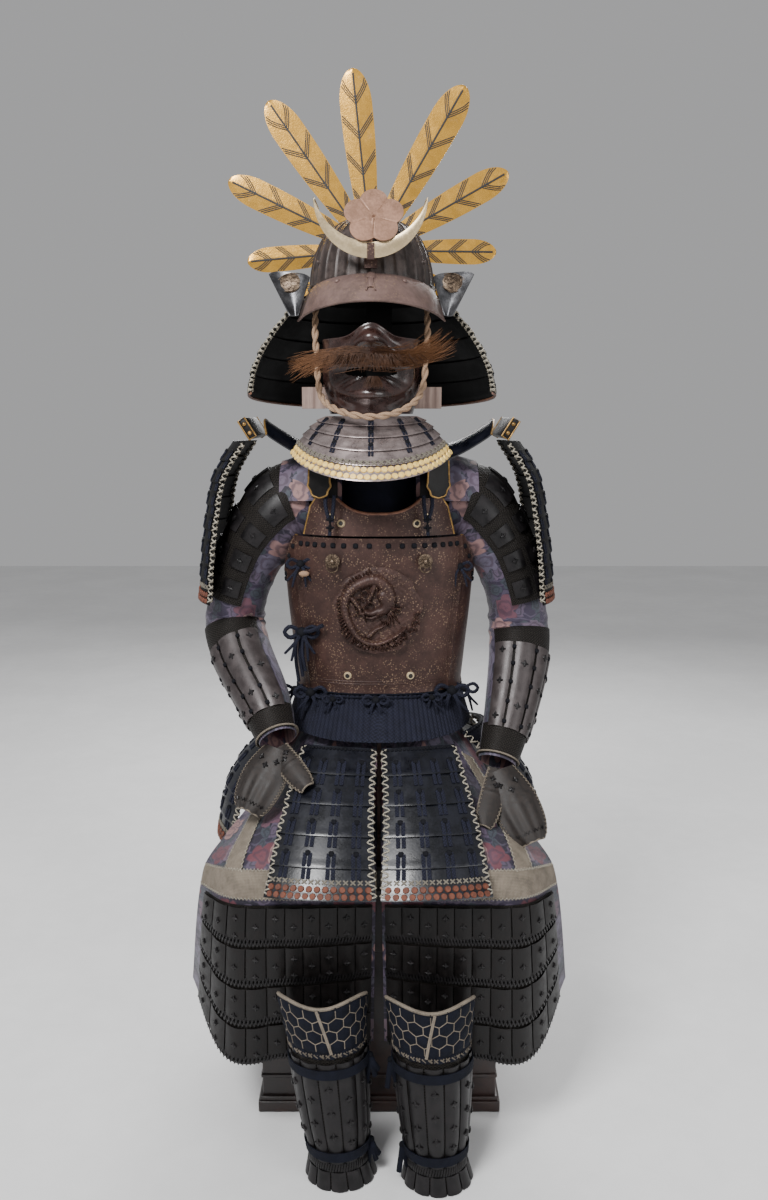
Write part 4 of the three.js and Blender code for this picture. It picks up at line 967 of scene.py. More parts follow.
# ------------------------------------------------------------------ laced lames
@dataclass
class Lames:
    """Overlapping lames on one skin, and the lacing that joins them."""

    ABOVE, BELOW = 0.46, 0.34  # how far a pair of cords runs past a joint, in lames
    skin: Skin
    count: int
    columns: int = 28
    step: float = 3.2
    thick: float = 2.0
    bead: float = 0.9

    def height(self, v: float) -> float:
        """Height of the lames' outer face at a share along the skin."""
        share = v * self.count
        t = share - min(share // 1, self.count - 1)
        return self.step * min(t, 1.0) + self.thick

    def plates(self, shape: Shape) -> None:
        """Adds every lame: tucked in at its top, out at its foot, with a bead along it."""
        for i in range(self.count):
            top, foot = (i - (0.12 if i else 0.0)) / self.count, (i + 1) / self.count

            def surface(u: float, t: float) -> Vector:
                """The lame's surface, its rows closer near its foot."""
                share = 1.0 - (1.0 - t) ** 1.7
                lift = self.step * max(0.0, (share - 0.08) / 0.92) + self.bead * bump(share, 0.93, 0.06)
                return self.skin.point(u, lerp(top, foot, share), lift)
            lame = Skin(surface, self.skin.point(0.5, (top + foot) / 2, -300.0))
            shape.sheet(lame, self.columns, 8, self.thick)

    def make(self, name: str, finish: Finish, node: str) -> None:
        """Makes the lames into one piece that stands for a solid."""
        shape = Shape()
        self.plates(shape)
        shape.make(name, finish, [node])

    def laces(self, shape: Shape, across: Iterable[float], width: float = 5.0, gap: float = 6.5,
              knot: bpy.types.Mesh | None = None, last: int | None = None) -> None:
        """Adds pairs of cords that hang each lame from the one above.

        Args:
            shape: The mesh that they go into.
            across: Shares across the skin of each pair.
            width: A cord's width.
            gap: Distance between the pair's middles.
            knot: A small mesh for the crossing above each pair.
            last: The joint after the last laced one, or None for all.
        """
        places = []
        for u in across:
            for i in range(1, last or self.count):
                v0, v1 = (i - self.ABOVE) / self.count, (i + self.BELOW) / self.count
                shift = gap / 2 / max(self.skin.width(v0), 1.0)
                for side in (-1, 1):
                    shape.strip(self.skin, (u + side * shift, v0), (u + side * shift, v1), width, 1.6,
                                lambda a, b: self.height(b) + 0.3, steps=8)
                places.append(self.skin.place(u, v0, self.height(v0) + 0.6))
        if knot:
            shape.stamp(knot, places)

    def row(self, shape: Shape, mesh: bpy.types.Mesh, v: float, count: int,
            u_span: tuple[float, float] = (0.0, 1.0)) -> None:
        """Adds a row of small pieces across the lames."""
        step = (u_span[1] - u_span[0]) / count
        shape.stamp(mesh, [self.skin.place(u_span[0] + step * (k + 0.5), v, self.height(v) + 0.2)
                           for k in range(count)])

    def disc_rows(self, name: str, finish: Finish, mesh: bpy.types.Mesh, rows: dict[float, int],
                  u_span: tuple[float, float] = (0.0, 1.0)) -> None:
        """Makes a piece of rows of discs: how many at each share down."""
        discs = Shape()
        for v, count in rows.items():
            self.row(discs, mesh, v, count, u_span)
        discs.make(name, finish)

    def whip(self, shape: Shape, turns: int, reach: float, radius: float) -> None:
        """Winds two crossing cords round each side edge.

        Args:
            shape: The mesh that they go into.
            turns: Turns down the edge.
            reach: How far in from the edge a turn goes.
            radius: A cord's radius.
        """
        wide = self.skin.width(0.5)
        for u, inward in ((0.0, 1 / wide), (1.0, -1 / wide)):
            for way in (-1, 1):
                points = []
                for t in shares(turns * 6):
                    angle, v = tau * turns * t * way, lerp(0.01, 0.99, t)
                    across = reach * (0.5 + 0.5 * cos(angle)) - 1.5
                    high = self.height(v) / 2
                    points.append(self.skin.point(u + across * inward, v, high + (high + 1.4) * sin(angle)))
                shape.tube(points, radius, 5)


# ------------------------------------------------------------------ chest and stand
@dataclass
class StorageChest:
    """The lacquered storage chest that the armour sits on."""

    wide: float = 430.0
    deep: float = 390.0
    high: float = 400.0
    middle_y: float = -20.0
    plinth: float = 30.0
    proud: float = 8.0
    lid_top: float = 440.0
    lid_skirt: float = 120.0
    edge: float = 2.5

    def block(self, shape: Shape, grow: float, low: float, high: float) -> None:
        """Adds a bevelled block round the chest's plan, from one height to another."""
        size = (self.wide + 2 * grow, self.deep + 2 * grow, high - low, 1.0)
        place = Matrix.Translation((0.0, self.middle_y, (low + high) / 2)) @ Matrix.Diagonal(size)
        shape.block(place, self.edge, 3)

    def build(self) -> None:
        """Makes the body and the lid."""
        body = Shape()
        self.block(body, 0.0, 8.0, self.high)
        self.block(body, self.proud, 0.5, self.plinth - 8)
        self.block(body, self.proud - 3.0, self.plinth - 9, self.plinth)
        self.block(body, 2.5, 66.0, 74.0)
        body.make("chest_body_lacquered", CHEST, ["chest_body"])
        lid = Shape()
        self.block(lid, self.proud + 1, self.lid_top - self.lid_skirt, self.lid_top)
        lid.make("chest_lid_lacquered", CHEST, ["chest_lid"])


def dress_node(node: str, finish: Finish) -> None:
    """Gives a solid that keeps its shape its finish."""
    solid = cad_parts[node]
    solid.data.materials.clear()
    solid.data.materials.append(PAINT.material(finish))


def paint_post_shade() -> None:
    """Paints the upright of the stand black above its shoulder bar: painted shade for the post, which stands
    in shadow inside the armour.
    """
    half_width, bar_top = 26 * MM, 1200 * MM
    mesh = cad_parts["armour_stand"].data
    mesh.materials.append(PAINT.material(SHADE_BLACK))
    for face in mesh.polygons:
        if abs(face.center.x) < half_width and face.center.z > bar_top:
            face.material_index = 1


# ------------------------------------------------------------------ helmet
@dataclass
class Helmet:
    """The bowl, peak, neck guard, turn-backs and crests."""

    x: float = -13.0
    wide: float = 110.0
    deep: float = 122.0
    brow: float = 1487.0
    high: float = 130.0
    plates: int = 32
    fan: Vector = field(default_factory=lambda: Vector((-16.0, 150.0, 1583.0)))
    dome: list[Row] = field(default_factory=lambda: table(
        "at reach", (0, 1), (0.3, 0.96), (0.55, 0.87), (0.78, 0.7), (0.93, 0.43), (1, 0.15)))
    feathers: list[Row] = field(default_factory=lambda: table(
        "turn long wide", (-125, 190, 42), (-95, 239, 47), (-64.7, 300, 55), (-35.7, 332, 61), (-6, 330, 61),
        (30.9, 346, 63), (61.3, 298, 56), (90.7, 241, 47), (119, 190, 42)))

    def bowl_skin(self) -> Skin:
        """Once round, from the brow to the crown."""
        def surface(u: float, v: float) -> Vector:
            """A point of the bowl."""
            reach = section(self.dome, min(v, 1.0))["reach"]
            turn = u * 2 * pi
            return Vector((self.x + self.wide * reach * sin(turn), -self.deep * reach * cos(turn),
                           self.brow + self.high * v))
        return Skin(surface, (self.x, 0, self.brow + 20))

    def peak_skin(self) -> Skin:
        """From side to side across the brow, and outwards."""
        def surface(u: float, v: float) -> Vector:
            """A point of the peak."""
            half = radians(70)
            turn = lerp(-half, half, u)
            fall = (1 - cos(turn)) / (1 - cos(half))
            wide, deep = lerp(self.wide + 3.4, 135, v), lerp(self.deep + 3.4, 181, v)
            z = lerp(1504 - 17 * fall, 1453 - 22 * fall, v) + 7 * sin(pi * v)
            return Vector((self.x + wide * sin(turn), -deep * cos(turn), z))
        return Skin(surface, (self.x, -100, 1400))

    def guard_skin(self) -> Skin:
        """The neck guard: from the wearer's left front round the back, and down."""
        def surface(u: float, v: float) -> Vector:
            """A point of the neck guard."""
            turn = radians(lerp(106, -106, u))
            flare = sin(min(v, 1.0) * pi / 2) ** 0.92 if v > 0 else 0.0
            wide, deep = lerp(120, 222, flare), lerp(132, 208, flare)
            rise = 38 * v * (1 - cos(turn)) / 2
            return Vector((self.x + wide * sin(turn), deep * cos(turn), lerp(1478, 1284, v) + rise))
        return Skin(surface, (self.x, 0, 1380))

    def turnback_skin(self, side: int) -> Skin:
        """A turn-back: outwards from the bowl, and from its foot up."""
        def surface(u: float, v: float) -> Vector:
            """A point of the turn-back."""
            v *= 1 - 0.1 * min(abs(2 * u - 1), 1.0) ** 4
            inner = Vector((lerp(126, 104, v), lerp(-88, -73, v), lerp(1440, 1512, v)))
            outer = Vector((lerp(142, 184, v), lerp(-98, -54, v), lerp(1438, 1519, v)))
            point = inner.lerp(outer, u) + Vector((0, 9 * sin(u * pi), 0))
            return Vector((self.x + side * point.x, point.y, point.z))
        return Skin(surface, (self.x + side * 150, 100, 1480))

    def bowl(self) -> None:
        """Ribbed plates under a crown piece, with side studs."""
        skin = self.bowl_skin()

        def rib(u: float, v: float) -> float:
            """A standing rib at each joint between plates."""
            phase = (u * self.plates) % 1.0
            edge = min(phase, 1 - phase)
            return 0.2 + 1.9 * exp(-((edge / 0.09) ** 2)) * (1 - v**6) * min(1.0, v * 14)
        shape = Shape()
        shape.sheet(skin, self.plates * 8, 16, 2.0, rib)
        band = Skin(lambda u, v: skin.point(u, lerp(0.0, 0.075, v), 2.4), (self.x, 0, self.brow))
        shape.sheet(band, 72, 2, 1.6)
        for radius, low, high in ((27, 1611, 1617), (22, 1616, 1622), (15, 1621, 1628)):
            ring = [Vector((self.x + radius * sin(a), -radius * cos(a), (low + high) / 2))
                    for a in circle(32)]
            shape.tube(ring, (high - low) / 2 + 1, 8)
        rivet = rivet_mesh(3.2, 2.6)
        shape.stamp(rivet, [skin.place(k / 16, 0.036, 4.2) for k in range(16)])
        stud = disc_mesh(5.5, 3.0)
        shape.stamp(stud, [skin.place(u, 0.34, 2.4) for u in (0.16, 0.84, 0.34, 0.66)])
        shape.stamp(rivet, [skin.place(u, 0.34, 5.6) for u in (0.16, 0.84, 0.34, 0.66)])
        shape.make("bowl_plates", HELMET_IRON, ["helmet_bowl"])
        # A black sheet inside the bowl, reaching below its brow: painted shade for the helmet's shaded
        # inside.
        inner_shade = Shape()
        inner_shade.sheet(skin, 64, 12, 1.5, -7.0, v_span=(-0.12, 0.92))
        inner_shade.make("bowl_inner_shade", SHADE_BLACK)

    def peak(self) -> None:
        """The peak, with a raised rim and three rivets."""
        skin = self.peak_skin()
        shape = Shape()
        shape.sheet(skin, 48, 12, 2.2,
                    lambda u, v: 1.4 * bump(v, 0.97, 0.05) + 1.2 * bump(abs(2 * u - 1), 0.985, 0.02))
        shape.stamp(rivet_mesh(4.6, 3.0), [skin.place(u, 0.3, 3.0) for u in (0.3, 0.5, 0.7)])
        shape.make("peak_plate", PEAK_IRON, ["helmet_peak"])
        plate = Shape()
        for u0, u1, v0, v1 in ((0.478, 0.522, 0.0, 0.34), (0.486, 0.514, 0.3, 0.66)):
            plate.sheet(skin, 4, 8, 1.8, lambda u, v: 2.4 + 1.2 * sin(pi * u), u_span=(u0, u1),
                        v_span=(v0, v1))
        for side in (-1, 1):
            curl = [skin.point(0.5 + side * (0.008 + 0.016 * t * t), 0.34 + 0.4 * t, 3.6) for t in shares(8)]
            plate.tube(curl, 1.5, 6)
        rim = [skin.point(u, 0.985, 3.2) for u in shares(64)]
        plate.tube(rim, 1.7, 6)
        plate.make("peak_bracket", PEAK_IRON)

    def neck_guard(self) -> None:
        """Five black lames, laced in navy, with pale lacing down their front edges."""
        lames = Lames(self.guard_skin(), 5, columns=72, step=3.4)
        # The lames' black lacquer is darkened further as painted shade for the guard's shaded inside.
        lames.make("neck_guard_lames", SHADE_BLACK, "neck_guard")
        cords = Shape()
        knot = square_knot_mesh(7, 2.2)
        lames.laces(cords, [(k + 0.5) / 13 for k in range(13)], knot=knot)
        lames.row(cords, cross_lace_mesh(13, 3.0, 1.2), 0.91, 52)
        cords.make("neck_guard_lacing", NAVY)
        pale = Shape()
        cross = cross_lace_mesh(8, 2.0, 1.0)
        lames.whip(pale, 20, 13.0, 1.8)
        lames.row(pale, cross, 0.96, 44)
        pale.make("neck_guard_edging", WHITE_CORD)
        rim = Shape()
        rim.tube([lames.skin.point(u, 1.0, 3.4) for u in shares(96)], 2.6, 6)
        rim.make("neck_guard_rim", RUST_RIM)

    def turnbacks(self) -> None:
        """The two turned-back ends of the top lame, each with a round boss."""
        plate, boss, lines = Shape(), Shape(), Shape()
        for side in (-1, 1):
            skin = self.turnback_skin(side)
            plate.sheet(skin, 16, 16, 2.0,
                        lambda u, v: 1.3 * (bump(u, 0.98, 0.03) + bump(u, 0.02, 0.03) + bump(v, 0.98, 0.03)))
            spot = skin.place(0.5, 0.75, 1.6) @ Matrix.Diagonal((1.2, 0.9, 1.0, 1.0))
            boss.stamp(disc_mesh(21, 3.0, 40), [spot])
            boss.stamp(disc_mesh(17.5, 2.4, 40), [spot @ Matrix.Translation((0, 0, 1.6))])
            ring = [spot @ Vector((19.2 * cos(a), 19.2 * sin(a), 3.0)) for a in circle(40)]
            lines.tube(ring, 0.8, 5)
            for k in range(5):
                turn = tau * k / 5
                petal = [spot @ Vector(((7 + 6.5 * cos(a)) * cos(turn) - 4.6 * sin(a) * sin(turn),
                                        (7 + 6.5 * cos(a)) * sin(turn) + 4.6 * sin(a) * cos(turn),
                                        4.0)) for a in circle(12)]
                lines.tube(petal, 0.6, 4)
        plate.make("turnback_plates", STEEL, ["turnback_l", "turnback_r"])
        boss.make("turnback_bosses", BOSS)
        lines.make("turnback_lines", BOSS)

    def crescent(self) -> None:
        """A crescent open to the top, thickest along its middle."""
        radius, inner, lift = 94.0, 98.0, 30.0
        reach = acos((inner**2 - radius**2 - lift**2) / (2 * lift * radius))
        edge = asin(radius * sin(reach) / inner)
        middle = -radius * cos(reach) + inner * cos(edge)
        tilt = radians(6)

        def surface(u: float, v: float) -> Vector:
            """From tip to tip, and from the outer to the inner arc."""
            a, b = lerp(-reach, reach, u), lerp(-edge, edge, u)
            outside = Vector((radius * sin(a), -radius * cos(a)))
            inside = Vector((inner * sin(b), middle - inner * cos(b)))
            x, z = outside.lerp(inside, v)
            return Vector((self.x + x, -161 - z * sin(tilt), 1620 + z * cos(tilt)))
        skin = Skin(surface, (self.x, 100, 1560))
        shape = Shape()
        shape.sheet(skin, 72, 10, 2.2, lambda u, v: 2.6 * sin(pi * v) ** 0.8 * sin(pi * u) ** 0.5)
        shape.make("crescent_crest", BRASS, ["crescent"])

    def flower(self) -> None:
        """A five-petalled flower that leans back."""
        tilt = radians(24)
        middle = Vector((self.x + 5, -142, 1594))

        def reach(angle: float) -> float:
            """The outline's radius: the rim of five round petals."""
            off = (degrees(angle) - 90 + 36) % 72 - 36
            side = 27 * sin(radians(abs(off)))
            return 27 * cos(radians(off)) + sqrt(24**2 - side**2)

        def surface(u: float, v: float) -> Vector:
            """Round the flower, and outwards."""
            angle = u * tau
            r = reach(angle) * max(v, 0.004)
            x, z = r * cos(angle), r * sin(angle)
            return middle + Vector((x, z * sin(tilt), z * cos(tilt)))

        def relief(u: float, v: float) -> float:
            """Domed petals with a groove between them."""
            off = abs((u * 360 - 90 + 36) % 72 - 36) / 36
            rims = 0.5 * bump(v, 0.22, 0.03) + 0.9 * bump(v, 0.97, 0.02)
            return 0.5 - 0.5 * bump(off, 1.0, 0.05) * (v > 0.35) + rims
        skin = Skin(surface, middle + Vector((0, 100, 0)))
        shape = Shape()
        shape.sheet(skin, 120, 16, 2.0, relief)
        stem = [Vector((self.x + 4, -145, 1590)), Vector((self.x + 2, -151, 1570)),
                Vector((self.x, -155, 1551))]
        shape.tube(stem, 3.2, 8)
        shape.make("flower_crest", COPPER, ["plum_flower"])

    def feather_skin(self, row: Row) -> Skin:
        """One feather: across, and from the hub out to its tip."""
        turn = radians(row["turn"])

        def surface(u: float, v: float) -> Vector:
            """A point of the feather."""
            t = clamp(v)
            wide = row["wide"] / 2 * (0.42 + 0.58 * sin(min(t / 0.74, 1.0) * pi / 2))
            tip = sqrt(max(0.0, 1 - max(0.0, (t - 0.8) / 0.2) ** 2))
            x = (2 * u - 1) * wide * max(tip, 0.02)
            z = lerp(16, row["long"], v)
            crown = -1.6 * (1 - abs(2 * u - 1))
            return self.fan + Vector((x * cos(turn) + z * sin(turn), crown - 1.0,
                                      -x * sin(turn) + z * cos(turn)))
        return Skin(surface, self.fan + Vector((0, 200, 0)))

    def feather_fan(self) -> None:
        """Nine gilt feathers on one hub, each with a midrib and slanted bars."""
        gold, ink = Shape(), Shape()
        for row in self.feathers:
            skin = self.feather_skin(row)
            rounded = Skin(lambda u, v: skin.surface(u, 1 - (1 - v) ** 1.7), self.fan + Vector((0, 200, 0)))
            gold.sheet(rounded, 10, 30, 1.6)
            for face, level in ((1.0, 1.7), (-1.0, -0.5)):
                ink.strip(skin, (0.5, 0.02), (0.5, 0.975), 3.6, 0.5, level, steps=20)
            for station in (0.25, 0.46, 0.67, 0.87):
                for k in range(3):
                    v = station + 0.0165 * (k - 1) * 330 / row["long"]
                    rise = 0.3 * row["wide"] / row["long"]
                    for edge in (0.03, 0.97):
                        for level in (1.7, -0.5):
                            ink.strip(skin, (0.5, v - rise), (edge, v + rise), 2.0, 0.4, level, steps=3)
        hub = bmesh.new()
        hub.loops.layers.uv.new("UVMap")
        place = Matrix.Translation(self.fan + Vector((0, 1, 0))) @ rotation(90, "X")
        bmesh.ops.create_cone(hub, cap_ends=True, segments=40, radius1=44, radius2=44, depth=3.4,
                              matrix=place)
        gold.take(hub)
        gold.block(Matrix.Translation(self.fan + Vector((0, -23, 0))) @ Matrix.Diagonal((18, 46, 18, 1)), 2)
        gold.make("feather_crest", GOLD, ["feather_fan"])
        ink.make("feather_markings", INK_AND_HOLE_SHADE)

    def build(self) -> None:
        """Makes the whole helmet."""
        self.bowl()
        self.peak()
        self.neck_guard()
        self.turnbacks()
        dress_node("crest_holder", RUSSET)
        self.crescent()
        self.flower()
        self.feather_fan()


# ------------------------------------------------------------------ mask and throat guard
@dataclass
class FaceMask:
    """The half mask with its whiskers and chin cord, and the throat guard."""

    x: float = -13.0
    wide: float = 83.0
    deep: float = 78.0
    y: float = -84.0
    top: float = 1398.0
    foot: float = 1272.0
    chin_cord: tuple[tuple[float, float, float], ...] = (
        (-98, -64, 1452), (-98, -86, 1410), (-95, -100, 1372), (-93, -106, 1335), (-87, -124, 1304),
        (-70, -160, 1285), (-38, -190, 1272), (0, -201, 1267), (38, -190, 1272), (70, -160, 1288),
        (87, -124, 1310), (93, -106, 1340), (95, -100, 1374), (98, -86, 1410), (98, -64, 1452))

    def skin(self) -> Skin:
        """From cheek to cheek, and from the upper edge down."""
        def surface(u: float, v: float) -> Vector:
            """A point of the mask."""
            turn = radians(lerp(-92, 92, u))
            z = lerp(self.top + 22 * exp(-((turn / 0.35) ** 2)), self.foot, v)

            def hill(height: float, middle: float, reach: float, spread: float) -> float:
                """A swelling on the mask's middle line."""
                return height * exp(-(((z - middle) / reach) ** 2) - (turn / spread) ** 2)
            cheek = 5 * exp(-(((z - 1368) / 20) ** 2) - ((abs(turn) - 0.75) / 0.3) ** 2)
            out = hill(17, 1396, 20, 0.24) + hill(9, 1358, 13, 0.55) + hill(27, 1304, 22, 0.5) + cheek
            taper = 1 - 0.14 * max(0.0, (1330 - z) / 58) ** 1.4
            return Vector((self.x + (self.wide * taper + out * 0.5) * sin(turn),
                           self.y - (self.deep * taper + out) * cos(turn), z))
        return Skin(surface, (self.x, self.y, 1340))

    def mask(self) -> None:
        """The lacquered half mask, wrinkled round its open mouth."""
        skin = self.skin()

        def wrinkles(u: float, v: float) -> float:
            """Folds that ring the mouth and the chin, and a rim along the upper edge."""
            side, down = (u - 0.5) * 2, v
            mouth = hypot(side / 0.62, (down - 0.47) / 0.34)
            rings = 1.1 * cos(mouth * 13) * bump(mouth, 1.3, 0.45)
            chin = hypot(side / 0.42, (down - 0.78) / 0.2)
            lip = 3.2 * bump(mouth, 0.92, 0.16)
            return rings + lip + 0.9 * cos(chin * 11) * bump(chin, 1.25, 0.35) + 1.6 * bump(v, 0.012, 0.02)

        def keep(u: float, v: float) -> bool:
            """Leaves the mouth open."""
            point = skin.surface(u, v)
            return hypot((point.x - self.x) / 44, (point.z - 1341) / 9) > 1.0
        shape = Shape()
        shape.sheet(skin, 96, 72, 1.8, wrinkles, keep=keep)
        shape.make("mask_face", MASK_LACQUER, ["face_mask"])

    def hair(self) -> None:
        """The moustache and the chin tuft, strand by strand."""
        rng = random.Random(11)
        moustache = Shape()
        for _ in range(1100):
            side = rng.choice((-1, 1))
            root = rng.uniform(0, 40)
            long = rng.uniform(64, 112) if rng.random() < 0.5 else rng.uniform(18, 62)
            low = rng.gauss(0, 6.5) * (1.25 - root / 60)
            fan = rng.uniform(-1, 1)
            lean = (-0.17 if side < 0 else 0.24) + 0.17 * fan
            ragged = rng.uniform(-2.5, 2.5)
            points = []
            for k in range(6):
                t = k / 5
                x = min(root + long * t, 150)
                sweep = self.y - sqrt(max(0.02, 1 - (x / 168) ** 2)) * 106
                sag = (4 if side < 0 else -7) * sin(t * pi) * (long / 100)
                z = 1364 + low * (1 - 0.35 * t) + lean * (long * t) ** 2 / 105 + sag + 2.2 * sin(5 * t + low)
                y = sweep - 2 + ragged * t + rng.uniform(-1.5, 1.5)
                points.append(Vector((self.x + side * x, y, z)))
            moustache.tube(points, lambda t: 0.8 * (1 - 0.8 * t), 3)
        for _ in range(420):
            x = rng.gauss(0, 26)
            drop, out = rng.uniform(9, 24), rng.uniform(-4, 6)
            start = Vector((self.x + x, self.y - sqrt(1 - (x / 168) ** 2) * 108, 1366 + rng.uniform(-4, 6)))
            lean = Vector((0.35 * x / 26 * drop + out, -3.0, -drop))
            points = [start + lean * t + Vector((0, -3 * sin(t * 3), 0)) for t in (0, 0.35, 0.7, 1)]
            moustache.tube(points, lambda t: 0.8 * (1 - 0.8 * t), 3)
        moustache.make("moustache_hair", FUR, ["moustache"])
        tuft = Shape()
        for _ in range(190):
            angle, spread = rng.uniform(0, tau), rng.uniform(0, 1) ** 0.5
            start = Vector((self.x + 4 + 8 * spread * cos(angle), -197 + 3 * spread * sin(angle), 1333))
            fall = Vector((9 * spread * cos(angle), -3 * spread, -rng.uniform(12, 21)))
            points = [start + fall * t + Vector((0, 0, 1.5 * sin(t * 3))) for t in (0, 0.35, 0.7, 1)]
            tuft.tube(points, lambda t: 0.6 * (1 - 0.8 * t), 3)
        tuft.make("chin_tuft_hair", FUR, ["chin_tuft"])

    def rope(self) -> None:
        """The chin cord: two strands twisted together."""
        path = spline([(x + self.x, y, z) for x, y, z in self.chin_cord], 150)
        shape = Shape()
        for phase in (0, pi):
            points = []
            for k, point in enumerate(path):
                along = (path[min(k + 1, 150)] - path[max(k - 1, 0)]).normalized()
                side = along.cross(Vector((0, 1, 0.2))).normalized()
                angle = k * 0.5 + phase
                points.append(point + (side * cos(angle) + along.cross(side) * sin(angle)) * 2.9)
            shape.tube(points, 3.3, 8)
        shape.make("chin_rope", TAN_ROPE, ["chin_cord"])

    def throat_skin(self) -> Skin:
        """Round the front from right to left, and down."""
        def surface(u: float, v: float) -> Vector:
            """A point of the throat guard."""
            half = radians(74)
            turn = lerp(-half, half, u)
            side = (1 - cos(turn)) / (1 - cos(half))
            spread = max(v, 0.0) ** 0.85
            wide, deep = lerp(82, 143, spread), lerp(76, 160, spread)
            z = lerp(1266, 1160, v) + side * 42 * v + 6 * sin(v * pi)
            return Vector((self.x + wide * sin(turn), -76 - deep * cos(turn), z))
        return Skin(surface, (self.x, -76, 1150))

    def throat_guard(self) -> None:
        """Five lames with navy laces and a gilt hem of loops and discs."""
        lames = Lames(self.throat_skin(), 5, columns=48, step=3.0)
        lames.make("throat_lames", LAME_IRON, "throat_guard")
        cords = Shape()
        lames.laces(cords, (0.12, 0.29, 0.5, 0.71, 0.88), width=4.0, gap=5.0, knot=square_knot_mesh(8, 2.4),
                    last=4)
        cords.make("throat_lacing", NAVY)
        lames.disc_rows("throat_discs", DISC_GOLD, disc_mesh(5.9, 2.2, 14), {0.85: 31, 0.95: 32})
        loops = Shape()
        lames.row(loops, cross_lace_mesh(12, 3.6, 1.8), 0.765, 30)
        loops.make("throat_loops", WHITE_CORD)

    def build(self) -> None:
        """Makes the mask, its hair and cord, and the throat guard."""
        self.mask()
        self.hair()
        self.rope()
        self.throat_guard()


